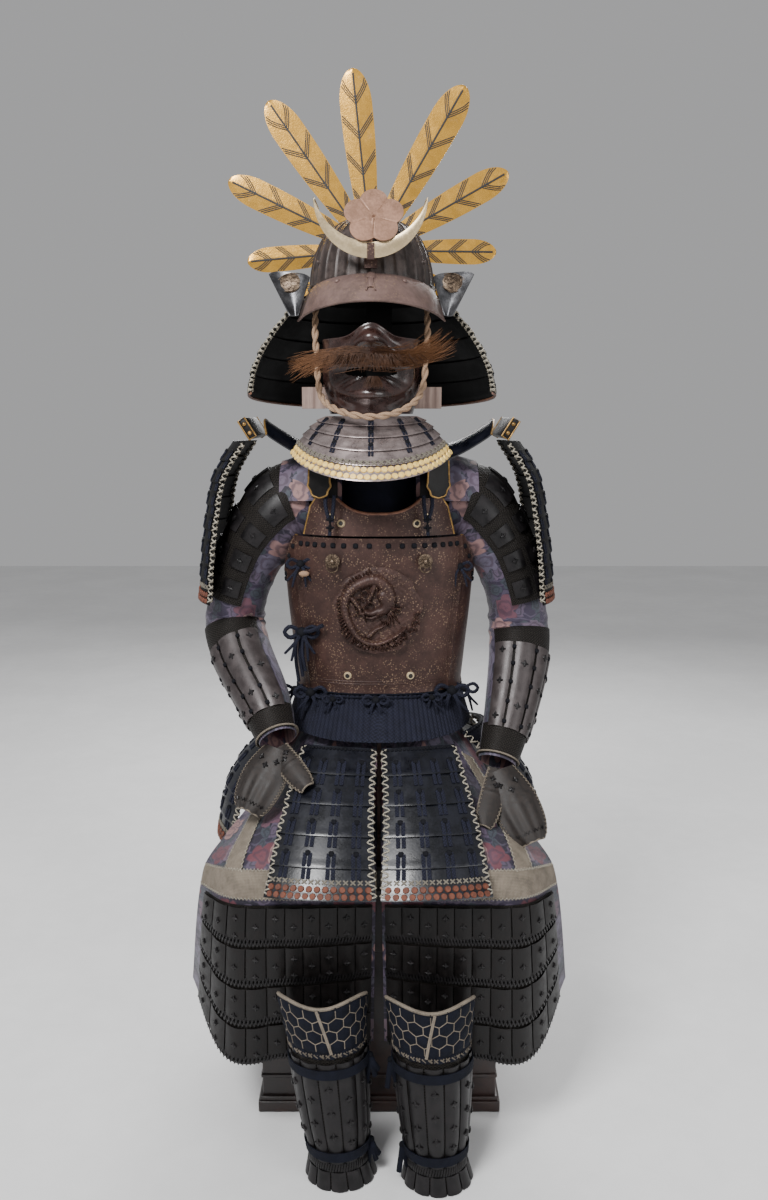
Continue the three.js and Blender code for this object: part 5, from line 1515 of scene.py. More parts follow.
# ------------------------------------------------------------------ cuirass
@dataclass
class Cuirass:
    """The breastplate, side and back plates, straps and fittings."""

    waist: float = 772.0
    top: float = 1055.0
    power: float = 0.82
    torso: list[Row] = field(default_factory=lambda: table(
        "at wide deep", (772, 153, 117), (850, 161, 124), (950, 171, 130), (1030, 174, 131),
        (1120, 150, 122)))
    strap: list[Row] = field(default_factory=lambda: table(
        "at y z", (0, -125, 1126), (0.2, -112, 1172), (0.5, -8, 1214), (0.8, 92, 1184), (1, 116, 1142)))

    def point(self, turn: float, z: float) -> Vector:
        """A point on the torso at a turn from the front, in degrees, and a height."""
        row = section(self.torso, min(z, 1120.0))
        s, c = sin(radians(turn)), cos(radians(turn))
        across = copysign(abs(s) ** self.power, s) * row["wide"]
        back = -copysign(abs(c) ** self.power, c) * row["deep"]
        return Vector((across, back, z))

    def rim(self, turn: float) -> float:
        """Height of the upper edge: low under the arms and high at the back."""
        a = abs(turn)
        if a <= 60:
            return self.top
        if a <= 88:
            return lerp(self.top, 978, sin(radians((a - 60) / 28 * 90)))
        return lerp(978, 1128, sin(radians(min(a - 88, 50) / 50 * 90)) ** 2)

    def hinge(self, v: float) -> float:
        """Turn of the hinge line between front and side plates."""
        return lerp(50, 57, v)

    def front_skin(self) -> Skin:
        """The front plate: across, and up."""
        def surface(u: float, v: float) -> Vector:
            """A point of the front plate."""
            half = self.hinge(clamp(v))
            turn = lerp(-half, half, u)
            return self.point(turn, lerp(self.waist, self.rim(turn), v))
        return Skin(surface, (0, 0, 900))

    def back_skin(self) -> Skin:
        """The side and back plates: round from the wearer's left hinge to the right one, and up."""
        def surface(u: float, v: float) -> Vector:
            """A point of the side and back plates."""
            seam = self.hinge(clamp(v)) + 0.4
            turn = lerp(seam, 360 - seam, u)
            signed = turn - 360 if turn > 180 else turn
            return self.point(signed, lerp(self.waist, self.rim(signed), v))
        return Skin(surface, (0, 0, 900))

    def breast_skin(self) -> Skin:
        """The breast top: across, and up to the neckline."""
        def surface(u: float, v: float) -> Vector:
            """A point of the breast top."""
            share = min(abs(2 * u - 1), 1.0)
            shoulder = lerp(1142, 1108, (share - 0.8) / 0.2) if share > 0.8 else 1142
            neckline = 1098 + 42 * (share / 0.62) ** 2.2 if share < 0.62 else shoulder
            return self.point(lerp(-49, 49, u), lerp(1059, min(neckline, shoulder), v))
        return Skin(surface, (0, 0, 1080))

    def plates(self) -> None:
        """The plates with their edges, seams and knots."""
        front, back, breast = self.front_skin(), self.back_skin(), self.breast_skin()

        def front_relief(u: float, v: float) -> float:
            """An incised border, a flange at the waist and a turned upper edge."""
            edge = min(u, 1 - u)
            return 0.9 + 2.2 * bump(v, 0.0, 0.018) + 1.6 * bump(v, 1.0, 0.016) + 1.0 * bump(edge, 0.0, 0.012)
        plate = Shape()
        plate.sheet(front, 96, 60, 1.8, front_relief)
        lines = Shape()
        for inset in (0.06, 0.078):
            border = [(inset, 0.93 - 0.06 * k) for k in range(15)] + [(inset, inset)]
            border += [(inset + (1 - 2 * inset) * k / 24, inset) for k in range(1, 24)]
            border += [(1 - inset, v) for _, v in reversed(border[:16])]
            lines.tube([front.point(u, v, 2.7) for u, v in border], 0.7, 5)
        for k in range(8):
            for u in (0.022, 0.978):
                lines.tube([front.point(u + d, 0.1 + 0.11 * k, 2.9) for d in (-0.02, 0.0, 0.02)], 0.8, 5)
        lines.make("plate_lines", RUSSET)
        plate.make("front_plate", RUSSET, ["cuirass_front"])

        def back_relief(u: float, v: float) -> float:
            """Seams at the side hinges and a rolled edge all round."""
            edge = min(u, 1 - u)
            seam = 1.0 * (bump(edge, 0.105, 0.004) + bump(edge, 0.255, 0.004))
            rolled = 2.2 * bump(v, 0.0, 0.018) + 2.4 * bump(v, 1.0, 0.014) + 1.2 * bump(edge, 0.0, 0.005)
            return 0.9 + rolled - seam
        sides = Shape()
        sides.sheet(back, 128, 40, 1.8, back_relief)
        sides.make("side_and_back_plates", RUSSET, ["cuirass_back"])
        upper = Shape()
        upper.sheet(breast, 64, 20, 1.8, lambda u, v: 0.8 + 1.6 * bump(v, 0.98, 0.03))
        upper.make("breast_plate", RUSSET, ["breast_top"])
        rim, gilt = Shape(), Shape()
        neck = [breast.point(u, 1.0, 2.2) for u in (0.19 + 0.62 * k / 40 for k in range(41))]
        rim.tube(neck, 2.6, 8)
        rim.make("neckline_rim", RUST_RIM)
        for sign in (1, -1):
            path = [breast.point(0.5 + sign * (0.31 + 0.19 * t), 1.0, 2.2) for t in shares(16)]
            path += [breast.point(0.5 + sign * 0.499, 1 - t, 2.0) for t in (k / 8 for k in range(1, 9))]
            gilt.tube(path, 2.0, 8)
            arm = [back.point(0.5 + sign * (0.5 - 0.26 * t), 1.0, 2.0) for t in shares(40)]
            gilt.tube(arm, 2.4, 8)
        waist = [front.point(u, 0.0, 2.4) for u in shares(60)]
        gilt.tube(waist, 1.5, 6)
        gilt.make("gilt_edges", GILT)
        knots = Shape()
        knot = square_knot_mesh(9, 2.6)
        spots = [front.place(0.06 + 0.88 * k / 15, 0.955, 3.4) for k in range(16)]
        spots += [back.place(0.5 + s * (0.49 - 0.022 * k), 0.93, 3.4) for s in (-1, 1) for k in range(5)]
        knots.stamp(knot, spots)
        knots.make("breast_knots", NAVY)
        eyes = Shape()
        ring = disc_mesh(7.5, 2.4, 24)
        hole = disc_mesh(4.6, 1.2, 20)
        spots = [(front, 0.335, 0.115), (front, 0.665, 0.115), (breast, 0.22, 0.44), (breast, 0.3, 0.4),
                 (breast, 0.7, 0.4), (breast, 0.78, 0.44)]
        eyes.stamp(ring, [skin.place(u, v, 2.6) for skin, u, v in spots])
        eyes.make("lacing_eyes", BRASS)
        # Dark discs in the middle of the eyes: painted shade standing for the holes.
        dark = Shape()
        dark.stamp(hole, [skin.place(u, v, 4.6) for skin, u, v in spots])
        dark.make("lacing_hole_shade", INK_AND_HOLE_SHADE)

    def medallion(self) -> None:
        """A raised roundel: a coiled dragon among clouds over waves."""
        middle = Vector((-2.0, -135.2, 928.0))
        radius, stretch, bold = 73.0, 1.12, 1.3
        strokes = []

        def stroke(points: Sequence[tuple[float, float]], start: float, end: float, high: float,
                   grain: float = 0.0) -> None:
            """Adds one line of the carving, its half width running from start to end."""
            line = spline([(x, 0, z) for x, z in points], 6 * len(points))
            last = len(line) - 1
            strokes.append([(p.x, p.z, lerp(start, end, k / last), high, grain, k)
                            for k, p in enumerate(line)])

        def polar(angle: float, reach: float) -> tuple[float, float]:
            """A place by its direction in degrees and its distance."""
            return reach * cos(radians(angle)), reach * sin(radians(angle))
        coil = [polar(-34 - 14 * k, 52 - 2.5 * sin(k * 0.9)) for k in range(17)]
        coil += [polar(-272 - 20 * k, 47 - 9.5 * k) for k in range(4)]
        stroke(coil, 3.0, 11.5, 9.0, 1.0)
        for k in range(3, 44):
            angle, out = -34 - 5.3 * k, 60 + 1.4 * sin(k * 0.9)
            stroke([polar(angle, out - 5), polar(angle + 3.5, out + 5.5)], 1.9, 0.7, 6.0)
        stroke([(9, 24), (14, 12), (10, 2), (2, -2)], 11.0, 8.0, 10.5)
        stroke([(2, 0), (-10, -4), (-19, -2)], 7.0, 4.6, 9.5)
        stroke([(0, -7), (-10, -12), (-17, -11)], 4.4, 2.6, 7.0)
        for bend in range(2):
            stroke([(8, 8 - 5 * bend), (20, 14 - 9 * bend), (33, 10 - 12 * bend)], 3.0, 0.9, 9.0)
        for k in range(9):
            lean = -62 + 17 * k
            x, z = 13 + 7 * cos(radians(lean)), 3 + 9 * sin(radians(lean))
            tip = polar(lean * 0.8 - 8, 30 + 5 * (k % 3))
            stroke([(x, z), ((x + tip[0]) / 2 + 3, (z + tip[1]) / 2 - 4), tip], 2.2, 0.7, 6.5)
        for way in (-1, 1):
            stroke([(-17, -2), (-26, 5 * way), (-34, 3 * way - 4), (-38, 9 * way)], 1.5, 0.6, 6.0)
        for angle, reach in ((-110, 44), (-205, 44), (-262, 40)):
            paw = polar(angle + 34, reach - 17)
            stroke([polar(angle, reach), polar(angle + 16, reach - 14), paw], 5.0, 3.0, 7.5)
            for spread in (-16, -4, 8, 20):
                claw = polar(angle + 50 + spread, reach - 24 + spread * 0.3)
                stroke([paw, ((paw[0] + claw[0]) / 2 + 1.5, (paw[1] + claw[1]) / 2), claw], 1.8, 0.6, 7.0)
        for k in range(7):
            angle = -8 - 11.5 * k if k < 3 else -128 - 26 * k
            x, z = polar(angle, 34 if k > 2 else 63)
            stroke([(x + 7 * cos(a * 1.05) * (1 - a / 8), z + 7 * sin(a * 1.05) * (1 - a / 8))
                    for a in range(7)],
                   1.9, 0.9, 5.5)
        for k in range(9):
            x = -44 + 10.5 * k
            low = -sqrt(max(0.0, 64**2 - x * x))
            stroke([(x - 9, low + 3), (x - 3, low + 12 + 3 * (k % 2)), (x + 4, low + 12), (x + 5, low + 5)],
                   2.6, 1.0, 5.5)
            stroke([(x - 6, low + 1), (x + 1, low + 7), (x + 8, low + 3)], 1.6, 1.0, 4.5)

        def relief(u: float, v: float) -> float:
            """The roundel's height."""
            angle = u * tau
            r = rim(angle) * v
            x, z = r * cos(angle) / stretch, r * sin(angle) / stretch
            height = 0.0
            for line in strokes:
                for cx, cz, half, high, grain, k in line:
                    dx, dz = x - cx, z - cz
                    if abs(dx) < half and abs(dz) < half:
                        away = (dx * dx + dz * dz) / (half * half)
                        if away < 1.0:
                            scale = 1 - 0.13 * grain * cos(k * 2.1) * (away < 0.8)
                            height = max(height, high * sqrt(1 - away) * scale)
            ground = 1.4 + 0.5 * sin(x * 0.5 + 2 * sin(z * 0.2)) * sin(z * 0.45)
            return bold * max(height, ground * min(1.0, (1 - v) * 9)) * min(1.0, (1.02 - v) * 14)

        def rim(angle: float) -> float:
            """The roundel's uneven outline."""
            return radius * stretch * (0.93 + 0.045 * abs(sin(4.5 * angle + 0.6)) + 0.02 * sin(11 * angle))

        def surface(u: float, v: float) -> Vector:
            """Round the roundel, and outwards."""
            angle = u * tau
            r = rim(angle) * max(v, 0.003)
            return middle + Vector((r * cos(angle), 0.0, r * sin(angle)))
        shape = Shape()
        shape.sheet(Skin(surface, middle + Vector((0, 100, 0))), 220, 72, 1.2, relief)
        shape.make("dragon_roundel", RUSSET, ["medallion"])

    def fittings(self) -> None:
        """Petalled bosses behind the chest rings, straps, wings and strap guards."""
        for side in ("l", "r"):
            dress_node(f"ring_boss_{side}", BOSS)
            dress_node(f"chest_ring_{side}", BOSS)
        petals = Shape()
        for sign in (-1, 1):
            middle = Matrix.Translation((sign * 82.0, -135.4, 1016.0))
            petal = Matrix.Translation((0, 0, 9.0)) @ Matrix.Diagonal((0.7, 0.7, 1.5, 1.0))
            petals.stamp(rivet_mesh(2.6, 2.6), [middle @ rotation(22.5 * k, "Y") @ petal for k in range(16)])
        petals.make("boss_petals", BOSS)
        strap, wing, guard, trim = Shape(), Shape(), Shape(), Shape()
        for sign in (-1, 1):
            strap.sheet(self.strap_skin(sign), 6, 32, 3.0)
            skin = self.wing_skin(sign)
            wing.sheet(skin, 14, 18, 2.6, lambda u, v: 1.4 * bump(u, 0.98, 0.03))
            trim.tube([skin.point(1.0, v, 2.0) for v in shares(24)], 2.0, 8)
            self.strap_guard(guard, trim, sign)
        strap.make("strap_leather", BROWN, ["shoulder_strap_l", "shoulder_strap_r"])
        wing.make("wing_plates", BLACK, ["shoulder_wing_l", "shoulder_wing_r"])
        guard.make("strap_guard_plates", BROWN, ["strap_guard_l", "strap_guard_r"])
        trim.make("strap_trim", GILT)

    def strap_skin(self, sign: int) -> Skin:
        """A shoulder strap: across it, and from the chest to the back."""
        def surface(u: float, v: float) -> Vector:
            """A point of the strap."""
            row = section(self.strap, clamp(v))
            ease = 1 - sin(clamp(v) * pi)
            return Vector((sign * lerp(72, 116, u), row["y"] - (6 if v < 0.5 else -8) * ease, row["z"]))
        return Skin(surface, (sign * 94, 0, 1100))

    def wing_skin(self, sign: int) -> Skin:
        """A wing on the strap's outer edge: outwards, and from front to back."""
        def surface(u: float, v: float) -> Vector:
            """A point of the wing."""
            bow = (2 * v - 1) ** 2
            return Vector((sign * (lerp(128, 210, u) - 10 * bow), lerp(-88, 62, v),
                           1216 + 44 * max(u, 0.0) ** 1.3 - 26 * bow))
        return Skin(surface, (sign * 160, 0, 1100))

    def strap_guard(self, plate: Shape, trim: Shape, sign: int) -> None:
        """A hanging plate with a lobed foot and a gilt edge."""
        middle, turn = Vector((sign * 103.0, -140.0, 1158.0)), radians(24 * sign)

        def half_width(v: float) -> float:
            """Half width down the plate: straight, then three lobes."""
            if v < 0.6:
                return 19 + 2 * v / 0.6
            t = (v - 0.6) / 0.4
            return 21 * sqrt(max(0.0, 1 - t**2.2)) + 1.6 * sin(t * 9)

        def surface(u: float, v: float) -> Vector:
            """A point of the plate."""
            x = (2 * u - 1) * half_width(v)
            return middle + Vector((x * cos(turn), x * sin(turn), lerp(34, -30, v)))
        skin = Skin(surface, middle + Vector((0, 100, 0)))
        plate.sheet(skin, 10, 20, 2.0, lambda u, v: 0.8 * (1 - (2 * u - 1) ** 2))
        path = [skin.point(0.0, v, 1.5) for v in shares(24)]
        path += [skin.point(1.0, 1 - v, 1.5) for v in shares(24)]
        trim.tube(path, 1.7, 8)

    def ties(self) -> None:
        """Cords with knots at the shoulders, sides and waist."""
        shape, toggle = Shape(), Shape()
        knot = cross_knot_mesh(9, 6)
        for sign in (-1, 1):
            for x, drop in ((sign * 92, 40), (sign * 78, 46)):
                cord = [(x, -138, 1132), (x + sign, -143, 1132 - drop * 0.4),
                        (sign * 85 + (x - sign * 85) * 0.4, -143, 1132 - drop)]
                shape.tube(spline(cord, 8), 3.4, 6)
            shape.stamp(knot, [Matrix.Translation((sign * 85, -144, z)) @ rotation(90, "X")
                               for z in (1090, 1076)])
            tail = [Vector((sign * 85, -143, 1080)), Vector((sign * 86, -144, 1062))]
            shape.tube(tail, 3.0, 6)
        for place, size, sign in (((-141, -98, 1006), 1.35, -1), ((-140, -104, 882), 1.7, -1),
                                  ((146, -86, 1000), 1.2, 1),
                                  ((-126, -98, 768), 1.6, -1), ((134, -92, 770), 1.7, 1),
                                  ((-6, -136, 764), 1.3, 1),
                                  ((-84, -124, 762), 1.0, -1), ((96, -118, 764), 1.0, 1),
                                  ((-158, -56, 762), 1.4, -1), ((160, -50, 764), 1.4, 1)):
            self.bow(shape, Vector(place), size, sign)
        for x, y, low in ((-141, -104, 800), (-150, -88, 786), (-136, -110, 812)):
            strand = [(x, y, 884), (x - 3, y - 4, (884 + low) / 2), (x + 2, y - 2, low)]
            shape.tube(spline(strand, 8), 3.2, 6)
        long = [(-140, -108, 884), (-122, -122, 888), (-100, -132, 900)]
        shape.tube(spline(long, 8), 4.0, 6)
        shape.make("cuirass_ties", NAVY)
        toggle.stamp(rivet_mesh(5, 5), [Matrix.Translation((-134, -112, 990))
                                        @ Matrix.Diagonal((2.0, 1, 1.1, 1))])
        toggle.make("side_toggle", TAN_ROPE)

    @staticmethod
    def bow(shape: Shape, middle: Vector, size: float, sign: int) -> None:
        """A knot with two loops and two hanging ends."""
        for way in (-1, 1):
            loop = [middle, middle + Vector((way * 12, -5, 7)) * size,
                    middle + Vector((way * 18, -6, 1)) * size,
                    middle + Vector((way * 12, -5, -5)) * size, middle]
            shape.tube(spline(loop, 14), 2.4 * size, 6)
            for reach, drop in ((9, -30), (16, -22)):
                end = [middle, middle + Vector((way * 5, -8, -8)) * size,
                       middle + Vector((way * reach + 2 * sign, -7, drop)) * size]
                shape.tube(spline(end, 8), lambda t: (2.3 - 0.9 * t) * size, 6)
        shape.stamp(rivet_mesh(6 * size, 6 * size), [Matrix.Translation(middle + Vector((0, -3, 0)))])

    def collar(self) -> None:
        """The vest's collar that shows in the neck opening."""
        def surface(u: float, v: float) -> Vector:
            """Round the front, and up."""
            turn = radians(lerp(-68, 68, u))
            wide, deep = lerp(104, 74, v), lerp(104, 66, v)
            return Vector((wide * sin(turn), -4 - deep * cos(turn), lerp(1040, 1196, v)))
        shape = Shape()
        skin = Skin(surface, (0, 0, 1100))
        shape.sheet(skin, 48, 24, 2.4, lambda u, v: 1.2 * sin(u * 21 + 5 * v) * bump(v, 0.6, 0.4))
        cloth = shape.make("collar_of_vest", NAVY_CLOTH, ["collar_cloth"])
        skin.width(0.5) * MM
        skin.height(0.5) * MM

    def build(self) -> None:
        """Makes the whole cuirass."""
        self.plates()
        self.medallion()
        self.fittings()
        self.ties()
        self.collar()


# ------------------------------------------------------------------ arms
ARM_COLUMNS = "at x y z wide deep"
ARM_TABLES = {
    -1: table(ARM_COLUMNS, (0, -124, -4, 1112, 74, 64), (0.1, -168, -2, 1098, 74, 72),
              (0.2, -206, 0, 1062, 66, 74),
              (0.32, -236, 0, 1018, 58, 68), (0.5, -266, 0, 938, 52, 60), (0.64, -275, -2, 878, 54, 56),
              (0.74, -257, -42, 832, 53, 52), (0.88, -208, -125, 762, 45, 43), (1, -178, -186, 706, 33, 30)),
    1: table(ARM_COLUMNS, (0, 124, -4, 1112, 74, 64), (0.1, 168, -2, 1098, 74, 72),
             (0.2, 202, 0, 1062, 66, 74),
             (0.32, 230, 0, 1018, 58, 68), (0.5, 257, 0, 938, 52, 60), (0.64, 266, -2, 872, 54, 56),
             (0.74, 262, -30, 820, 53, 52), (0.88, 240, -92, 732, 44, 42), (1, 213, -152, 652, 33, 30)),
}


@dataclass
class HandPlate:
    """Where a hand guard lies."""

    wrist: Vector
    knuckle: Vector
    thumb: Vector
    faces: Vector


HANDS = {
    -1: HandPlate(Vector((-176, -204, 690)), Vector((-226, -262, 604)), Vector((-122, -274, 650)),
                  Vector((-0.25, -0.75, 0.6))),
    1: HandPlate(Vector((212, -190, 648)), Vector((266, -268, 550)), Vector((180, -274, 580)),
                 Vector((0.15, -0.85, 0.5))),
}


@dataclass
class ArmouredSleeve(Sided):
    """One sleeve: brocade, mail, plates, forearm splints and the hand guard."""

    hand: HandPlate
    guard_shift: float

    def arm_point(self, at: float, turn: float, lift: float = 0.0) -> Vector:
        """A point about the arm.

        Args:
            at: Share of the arm's length.
            turn: Degrees from its outer side towards its front.
            lift: Height above its surface.

        Returns:
            The point.
        """
        rows = ARM_TABLES[self.side]
        here = section(rows, at)
        ahead, behind = section(rows, min(at + 0.01, 1.0)), section(rows, max(at - 0.01, 0.0))
        along = Vector([ahead[k] - behind[k] for k in "xyz"]).normalized()
        out = Vector((0, 1, 0)).cross(along).normalized()
        if out.x * self.side < 0:
            out.negate()
        front = along.cross(out).normalized()
        if front.y > 0:
            front.negate()
        a = radians(turn)
        middle = Vector([here[k] for k in "xyz"])
        return middle + out * ((here["wide"] + lift) * cos(a)) + front * ((here["deep"] + lift) * sin(a))

    def skin(self, start: float, end: float, low: float = 0.0, high: float = 1.0) -> Skin:
        """A stretch of the arm's surface, between two turns and two shares of its length."""
        def surface(u: float, v: float) -> Vector:
            """A point on the stretch."""
            return self.arm_point(lerp(low, high, v), lerp(start, end, u))
        middle = section(ARM_TABLES[self.side], (low + high) / 2)
        return Skin(surface, [middle[k] for k in "xyz"])

    def sleeve(self) -> None:
        """The brocade tube, creased at the elbow and below the shoulder."""
        skin = self.skin(0, 360)
        folds = table("at lean deep wide", (0.1, 0.5, 2.4, 0.02), (0.19, -0.6, 2.0, 0.016),
                      (0.3, 0.8, 2.6, 0.018),
                      (0.42, -0.4, 2.2, 0.015), (0.53, 0.6, 3.2, 0.018), (0.6, -0.5, 3.6, 0.014),
                      (0.655, 0.4, 3.2, 0.013), (0.7, -0.7, 2.6, 0.014), (0.93, 0.5, 1.6, 0.01))

        def creases(u: float, v: float) -> float:
            """Soft ridges that slant round the arm."""
            total = 0.0
            for k, fold in enumerate(folds):
                line = fold["at"] + 0.022 * fold["lean"] * sin(tau * u + 2.1 * k)
                total += fold["deep"] * bump(v, line, fold["wide"]) * (0.65 + 0.35 * cos(tau * u + k * 1.7))
            return total
        shape = Shape()
        shape.sheet(skin, 56, 124, 1.4, creases)
        shape.sheet(self.shoulder_skin(), 16, 28, 1.4,
                    lambda u, v: 2.0 * sin(v * 19 + 4 * u) * bump(u, 0.5, 0.5))
        cloth = shape.make(f"brocade_sleeve_{self.tag}", BROCADE, [f"sleeve_{self.tag}"])
        skin.width(0.5) * MM
        skin.height(0.25) * MM

    def shoulder_skin(self) -> Skin:
        """The cloth over the shoulder: from the neck outwards, and from front to back."""
        def surface(u: float, v: float) -> Vector:
            """A point of the shoulder cloth."""
            a = radians(lerp(-86, 86, v))
            deep, high = lerp(90, 76, u), lerp(102, 72, u)
            return Vector((self.side * lerp(66, 180, u), deep * sin(a), 1112 + high * cos(a)))
        return Skin(surface, (self.side * 120, 0, 1100))

    def upper_arm(self) -> None:
        """Mail over the upper arm, with rows of small plates laced to it."""
        skin = self.skin(104, -72, 0.07, 0.52)
        mail, plates, knots = Shape(), Shape(), Shape()
        mail.sheet(skin, 40, 44, 1.2, lambda u, v: 6.6 + 0.5 * sin(v * 40))
        mail.make(f"upper_arm_mail_{self.tag}", MAIL, [f"arm_plates_{self.tag}"])
        for row in range(4):
            v0, v1 = row / 4 + 0.05, row / 4 + 0.2
            for col in range(4):
                u0 = 0.05 + col * 0.235
                plates.sheet(skin, 6, 6, 1.8, lambda s, t: 8.2 + 2.2 * sin(pi * s) ** 0.6,
                             u_span=(u0, u0 + 0.175), v_span=(v0, v1))
                knots.stamp(cross_knot_mesh(7.5, 3.0), [skin.place(u0 + 0.088, (v0 + v1) / 2, 12.2)])
        plates.make(f"upper_arm_plates_{self.tag}", PLATE)
        knots.make(f"upper_arm_knots_{self.tag}", PLATE)

    def forearm(self) -> None:
        """Splints laced down the forearm over mail."""
        skin = self.skin(150, -62, 0.715, 0.955)
        splints, cords, knots = Shape(), Shape(), Shape()
        count = 5
        for k in range(count):
            u0, u1 = k / count + 0.012, (k + 1) / count - 0.012
            splints.sheet(skin, 8, 20, 2.0, lambda s, t: 3.8 + 2.6 * sin(pi * s) ** 0.7 - 1.0 * (t > 0.985),
                          u_span=(u0, u1), v_span=(0.06, 0.93))
            knots.stamp(cross_knot_mesh(8.0, 3.0),
                        [skin.place((u0 + u1) / 2, v, 8.6)
                         for v in ((0.3, 0.72) if k % 2 else (0.16, 0.5, 0.84))])
            if k:
                cords.stamp(square_knot_mesh(7.5, 2.6), [skin.place(k / count, v, 6.6) for v in
                                                         (0.12, 0.31, 0.5, 0.69, 0.88)])
        splints.make(f"forearm_splints_{self.tag}", SPLINT_IRON, [f"forearm_guard_{self.tag}"])
        knots.make(f"forearm_knots_{self.tag}", PLATE)
        cords.make(f"forearm_laces_{self.tag}", NAVY)
        mail = Shape()
        mail.sheet(skin, 30, 24, 1.2, 1.8)
        elbow = self.skin(150, -70, 0.655, 0.74)
        mail.sheet(elbow, 30, 10, 1.4, 3.0)
        wrist = self.skin(170, -80, 0.93, 0.995)
        mail.sheet(wrist, 30, 8, 1.4, 2.6)
        mail.make(f"forearm_mail_{self.tag}", MAIL)

    def hand_skin(self, end: Vector, wide: float, dome: float, taper: float) -> Skin:
        """A tapering tongue from the wrist towards an end."""
        up = self.hand.faces.normalized()
        along = end - self.hand.wrist
        across = along.cross(up).normalized()

        def surface(u: float, v: float) -> Vector:
            """A point of the tongue."""
            t = clamp(v)
            rise = sin(min(t * 1.9, 1.0) * pi / 2)
            width = wide * (taper + (1 - taper) * rise) * sqrt(1 - 0.72 * t**5)
            s = 2 * u - 1
            height = dome * (1 - s * s) - dome * 0.7 * t**3
            return self.hand.wrist + along * v + across * (width * s) + up * height
        middle = self.hand.wrist + along * 0.5
        return Skin(surface, middle - up * 100)

    def hand_guard(self) -> None:
        """The fluted plate on the back of the hand, and the thumb's."""
        plates, trim, laces = Shape(), Shape(), Shape()
        for end, wide, dome, taper in ((self.hand.knuckle, 41, 15, 0.62), (self.hand.thumb, 19, 6, 0.9)):
            skin = self.hand_skin(end, wide, dome, taper)
            broad = wide > 30

            def flutes(u: float, v: float) -> float:
                """Grooves that run towards the fingers, over two cross seams."""
                groove = 1.3 * cos(u * tau * 4) * bump(v, 0.72, 0.28) if broad else 0.8 * bump(u, 0.5, 0.2)
                return 1.6 + groove - 0.9 * bump(v, 0.4, 0.012) + 1.0 * bump(v, 0.43, 0.02)
            plates.sheet(skin, 56 if broad else 20, 36, 2.0, flutes)
            for side in (0.02, 0.98):
                trim.stitch(skin, (side, 0.02), (side, 0.97), 20 if broad else 14, 5.0, 4.2, 1.0)
            outline = [skin.point(0.0, v, 2.0) for v in shares(20)]
            outline += [skin.point(k / 12, 1.0, 2.0) for k in range(1, 12)]
            outline += [skin.point(1.0, 1 - v, 2.0) for v in shares(20)]
            trim.tube(outline, 2.0, 6)
            laces.stamp(cross_knot_mesh(7, 3),
                        [skin.place(u, v, 5.0) for u, v in ((0.3, 0.2), (0.7, 0.2), (0.5, 0.3))])
            if broad:
                laces.stitch(skin, (0.12, 0.88), (0.88, 0.88), 9, 5.0, 3.6, 1.3)
        for lift in (6.0, 10.5):
            cuff = [self.arm_point(0.992, turn, lift * 0.5) for turn in range(-180, 181, 12)]
            trim.tube(cuff, 1.6, 6)
        plates.make(f"hand_plates_{self.tag}", GLOVE, [f"hand_guard_{self.tag}"])
        trim.make(f"hand_edging_{self.tag}", HEMP)
        laces.make(f"hand_laces_{self.tag}", PLATE)

    def guard_skin(self) -> Skin:
        """The shoulder guard: from front to back, and down."""
        rows = table("at x z", (0, 254, 1222), (0.25, 291, 1158), (0.5, 306, 1086), (0.75, 316, 1008),
                     (1, 321, 930))

        def surface(u: float, v: float) -> Vector:
            """A point of the shoulder guard."""
            row = section(rows, v)
            turn = radians(lerp(-36, 36, u))
            x = row["x"] + self.guard_shift - 165 * (1 - cos(turn))
            return Vector((self.side * x, 165 * lerp(0.9, 1, v) * sin(turn), row["z"]))
        return Skin(surface, (0, 0, 1080))

    def shoulder_guard(self) -> None:
        """Seven black lames with a gilt cap and a hem of discs."""
        lames = Lames(self.guard_skin(), 7, columns=24)
        cords, pale = Shape(), Shape()
        # The lames' black lacquer is darkened further as painted shade for the guard's shaded inner face.
        lames.make(f"shoulder_lames_{self.tag}", SHADE_BLACK, f"shoulder_guard_{self.tag}")
        lames.laces(cords, [(k + 0.5) / 5 for k in range(5)], knot=square_knot_mesh(8, 2.4))
        cords.make(f"shoulder_lacing_{self.tag}", NAVY)
        cross = cross_lace_mesh(11, 2.6, 1.3)
        lames.whip(pale, 26, 9.0, 1.4)
        lames.row(pale, cross, 0.9, 18, (0.04, 0.96))
        pale.make(f"shoulder_edging_{self.tag}", WHITE_CORD)
        lames.disc_rows(f"shoulder_discs_{self.tag}", DISC_COPPER, disc_mesh(5.2, 2.4),
                        {0.945: 17, 0.982: 17}, (0.04, 0.96))
        gilt, cap = Shape(), Shape()
        face = Matrix.Translation((self.side * 233, 0, 1246)) @ rotation(32 * self.side, "Y")
        cap.block(face @ Matrix.Diagonal((14, 184, 38, 1)), 2.5)
        cap.make(f"shoulder_cap_{self.tag}", BROWN, [f"guard_cap_{self.tag}"])
        spots = [face @ Matrix.Translation((0, -92, z)) @ rotation(90, "X") for z in (-9, 9)]
        gilt.stamp(rivet_mesh(4, 3.2), spots)
        for y in (-93, 93):
            corners = ((-7, -19), (7, -19), (7, 19), (-7, 19), (-7, -19))
            gilt.tube([face @ Vector((x, y, z)) for x, z in corners], 1.5, 6)
        gilt.make(f"shoulder_cap_trim_{self.tag}", GILT)

    def build(self) -> None:
        """Makes the whole arm."""
        self.sleeve()
        self.upper_arm()
        self.forearm()
        self.hand_guard()
        self.shoulder_guard()


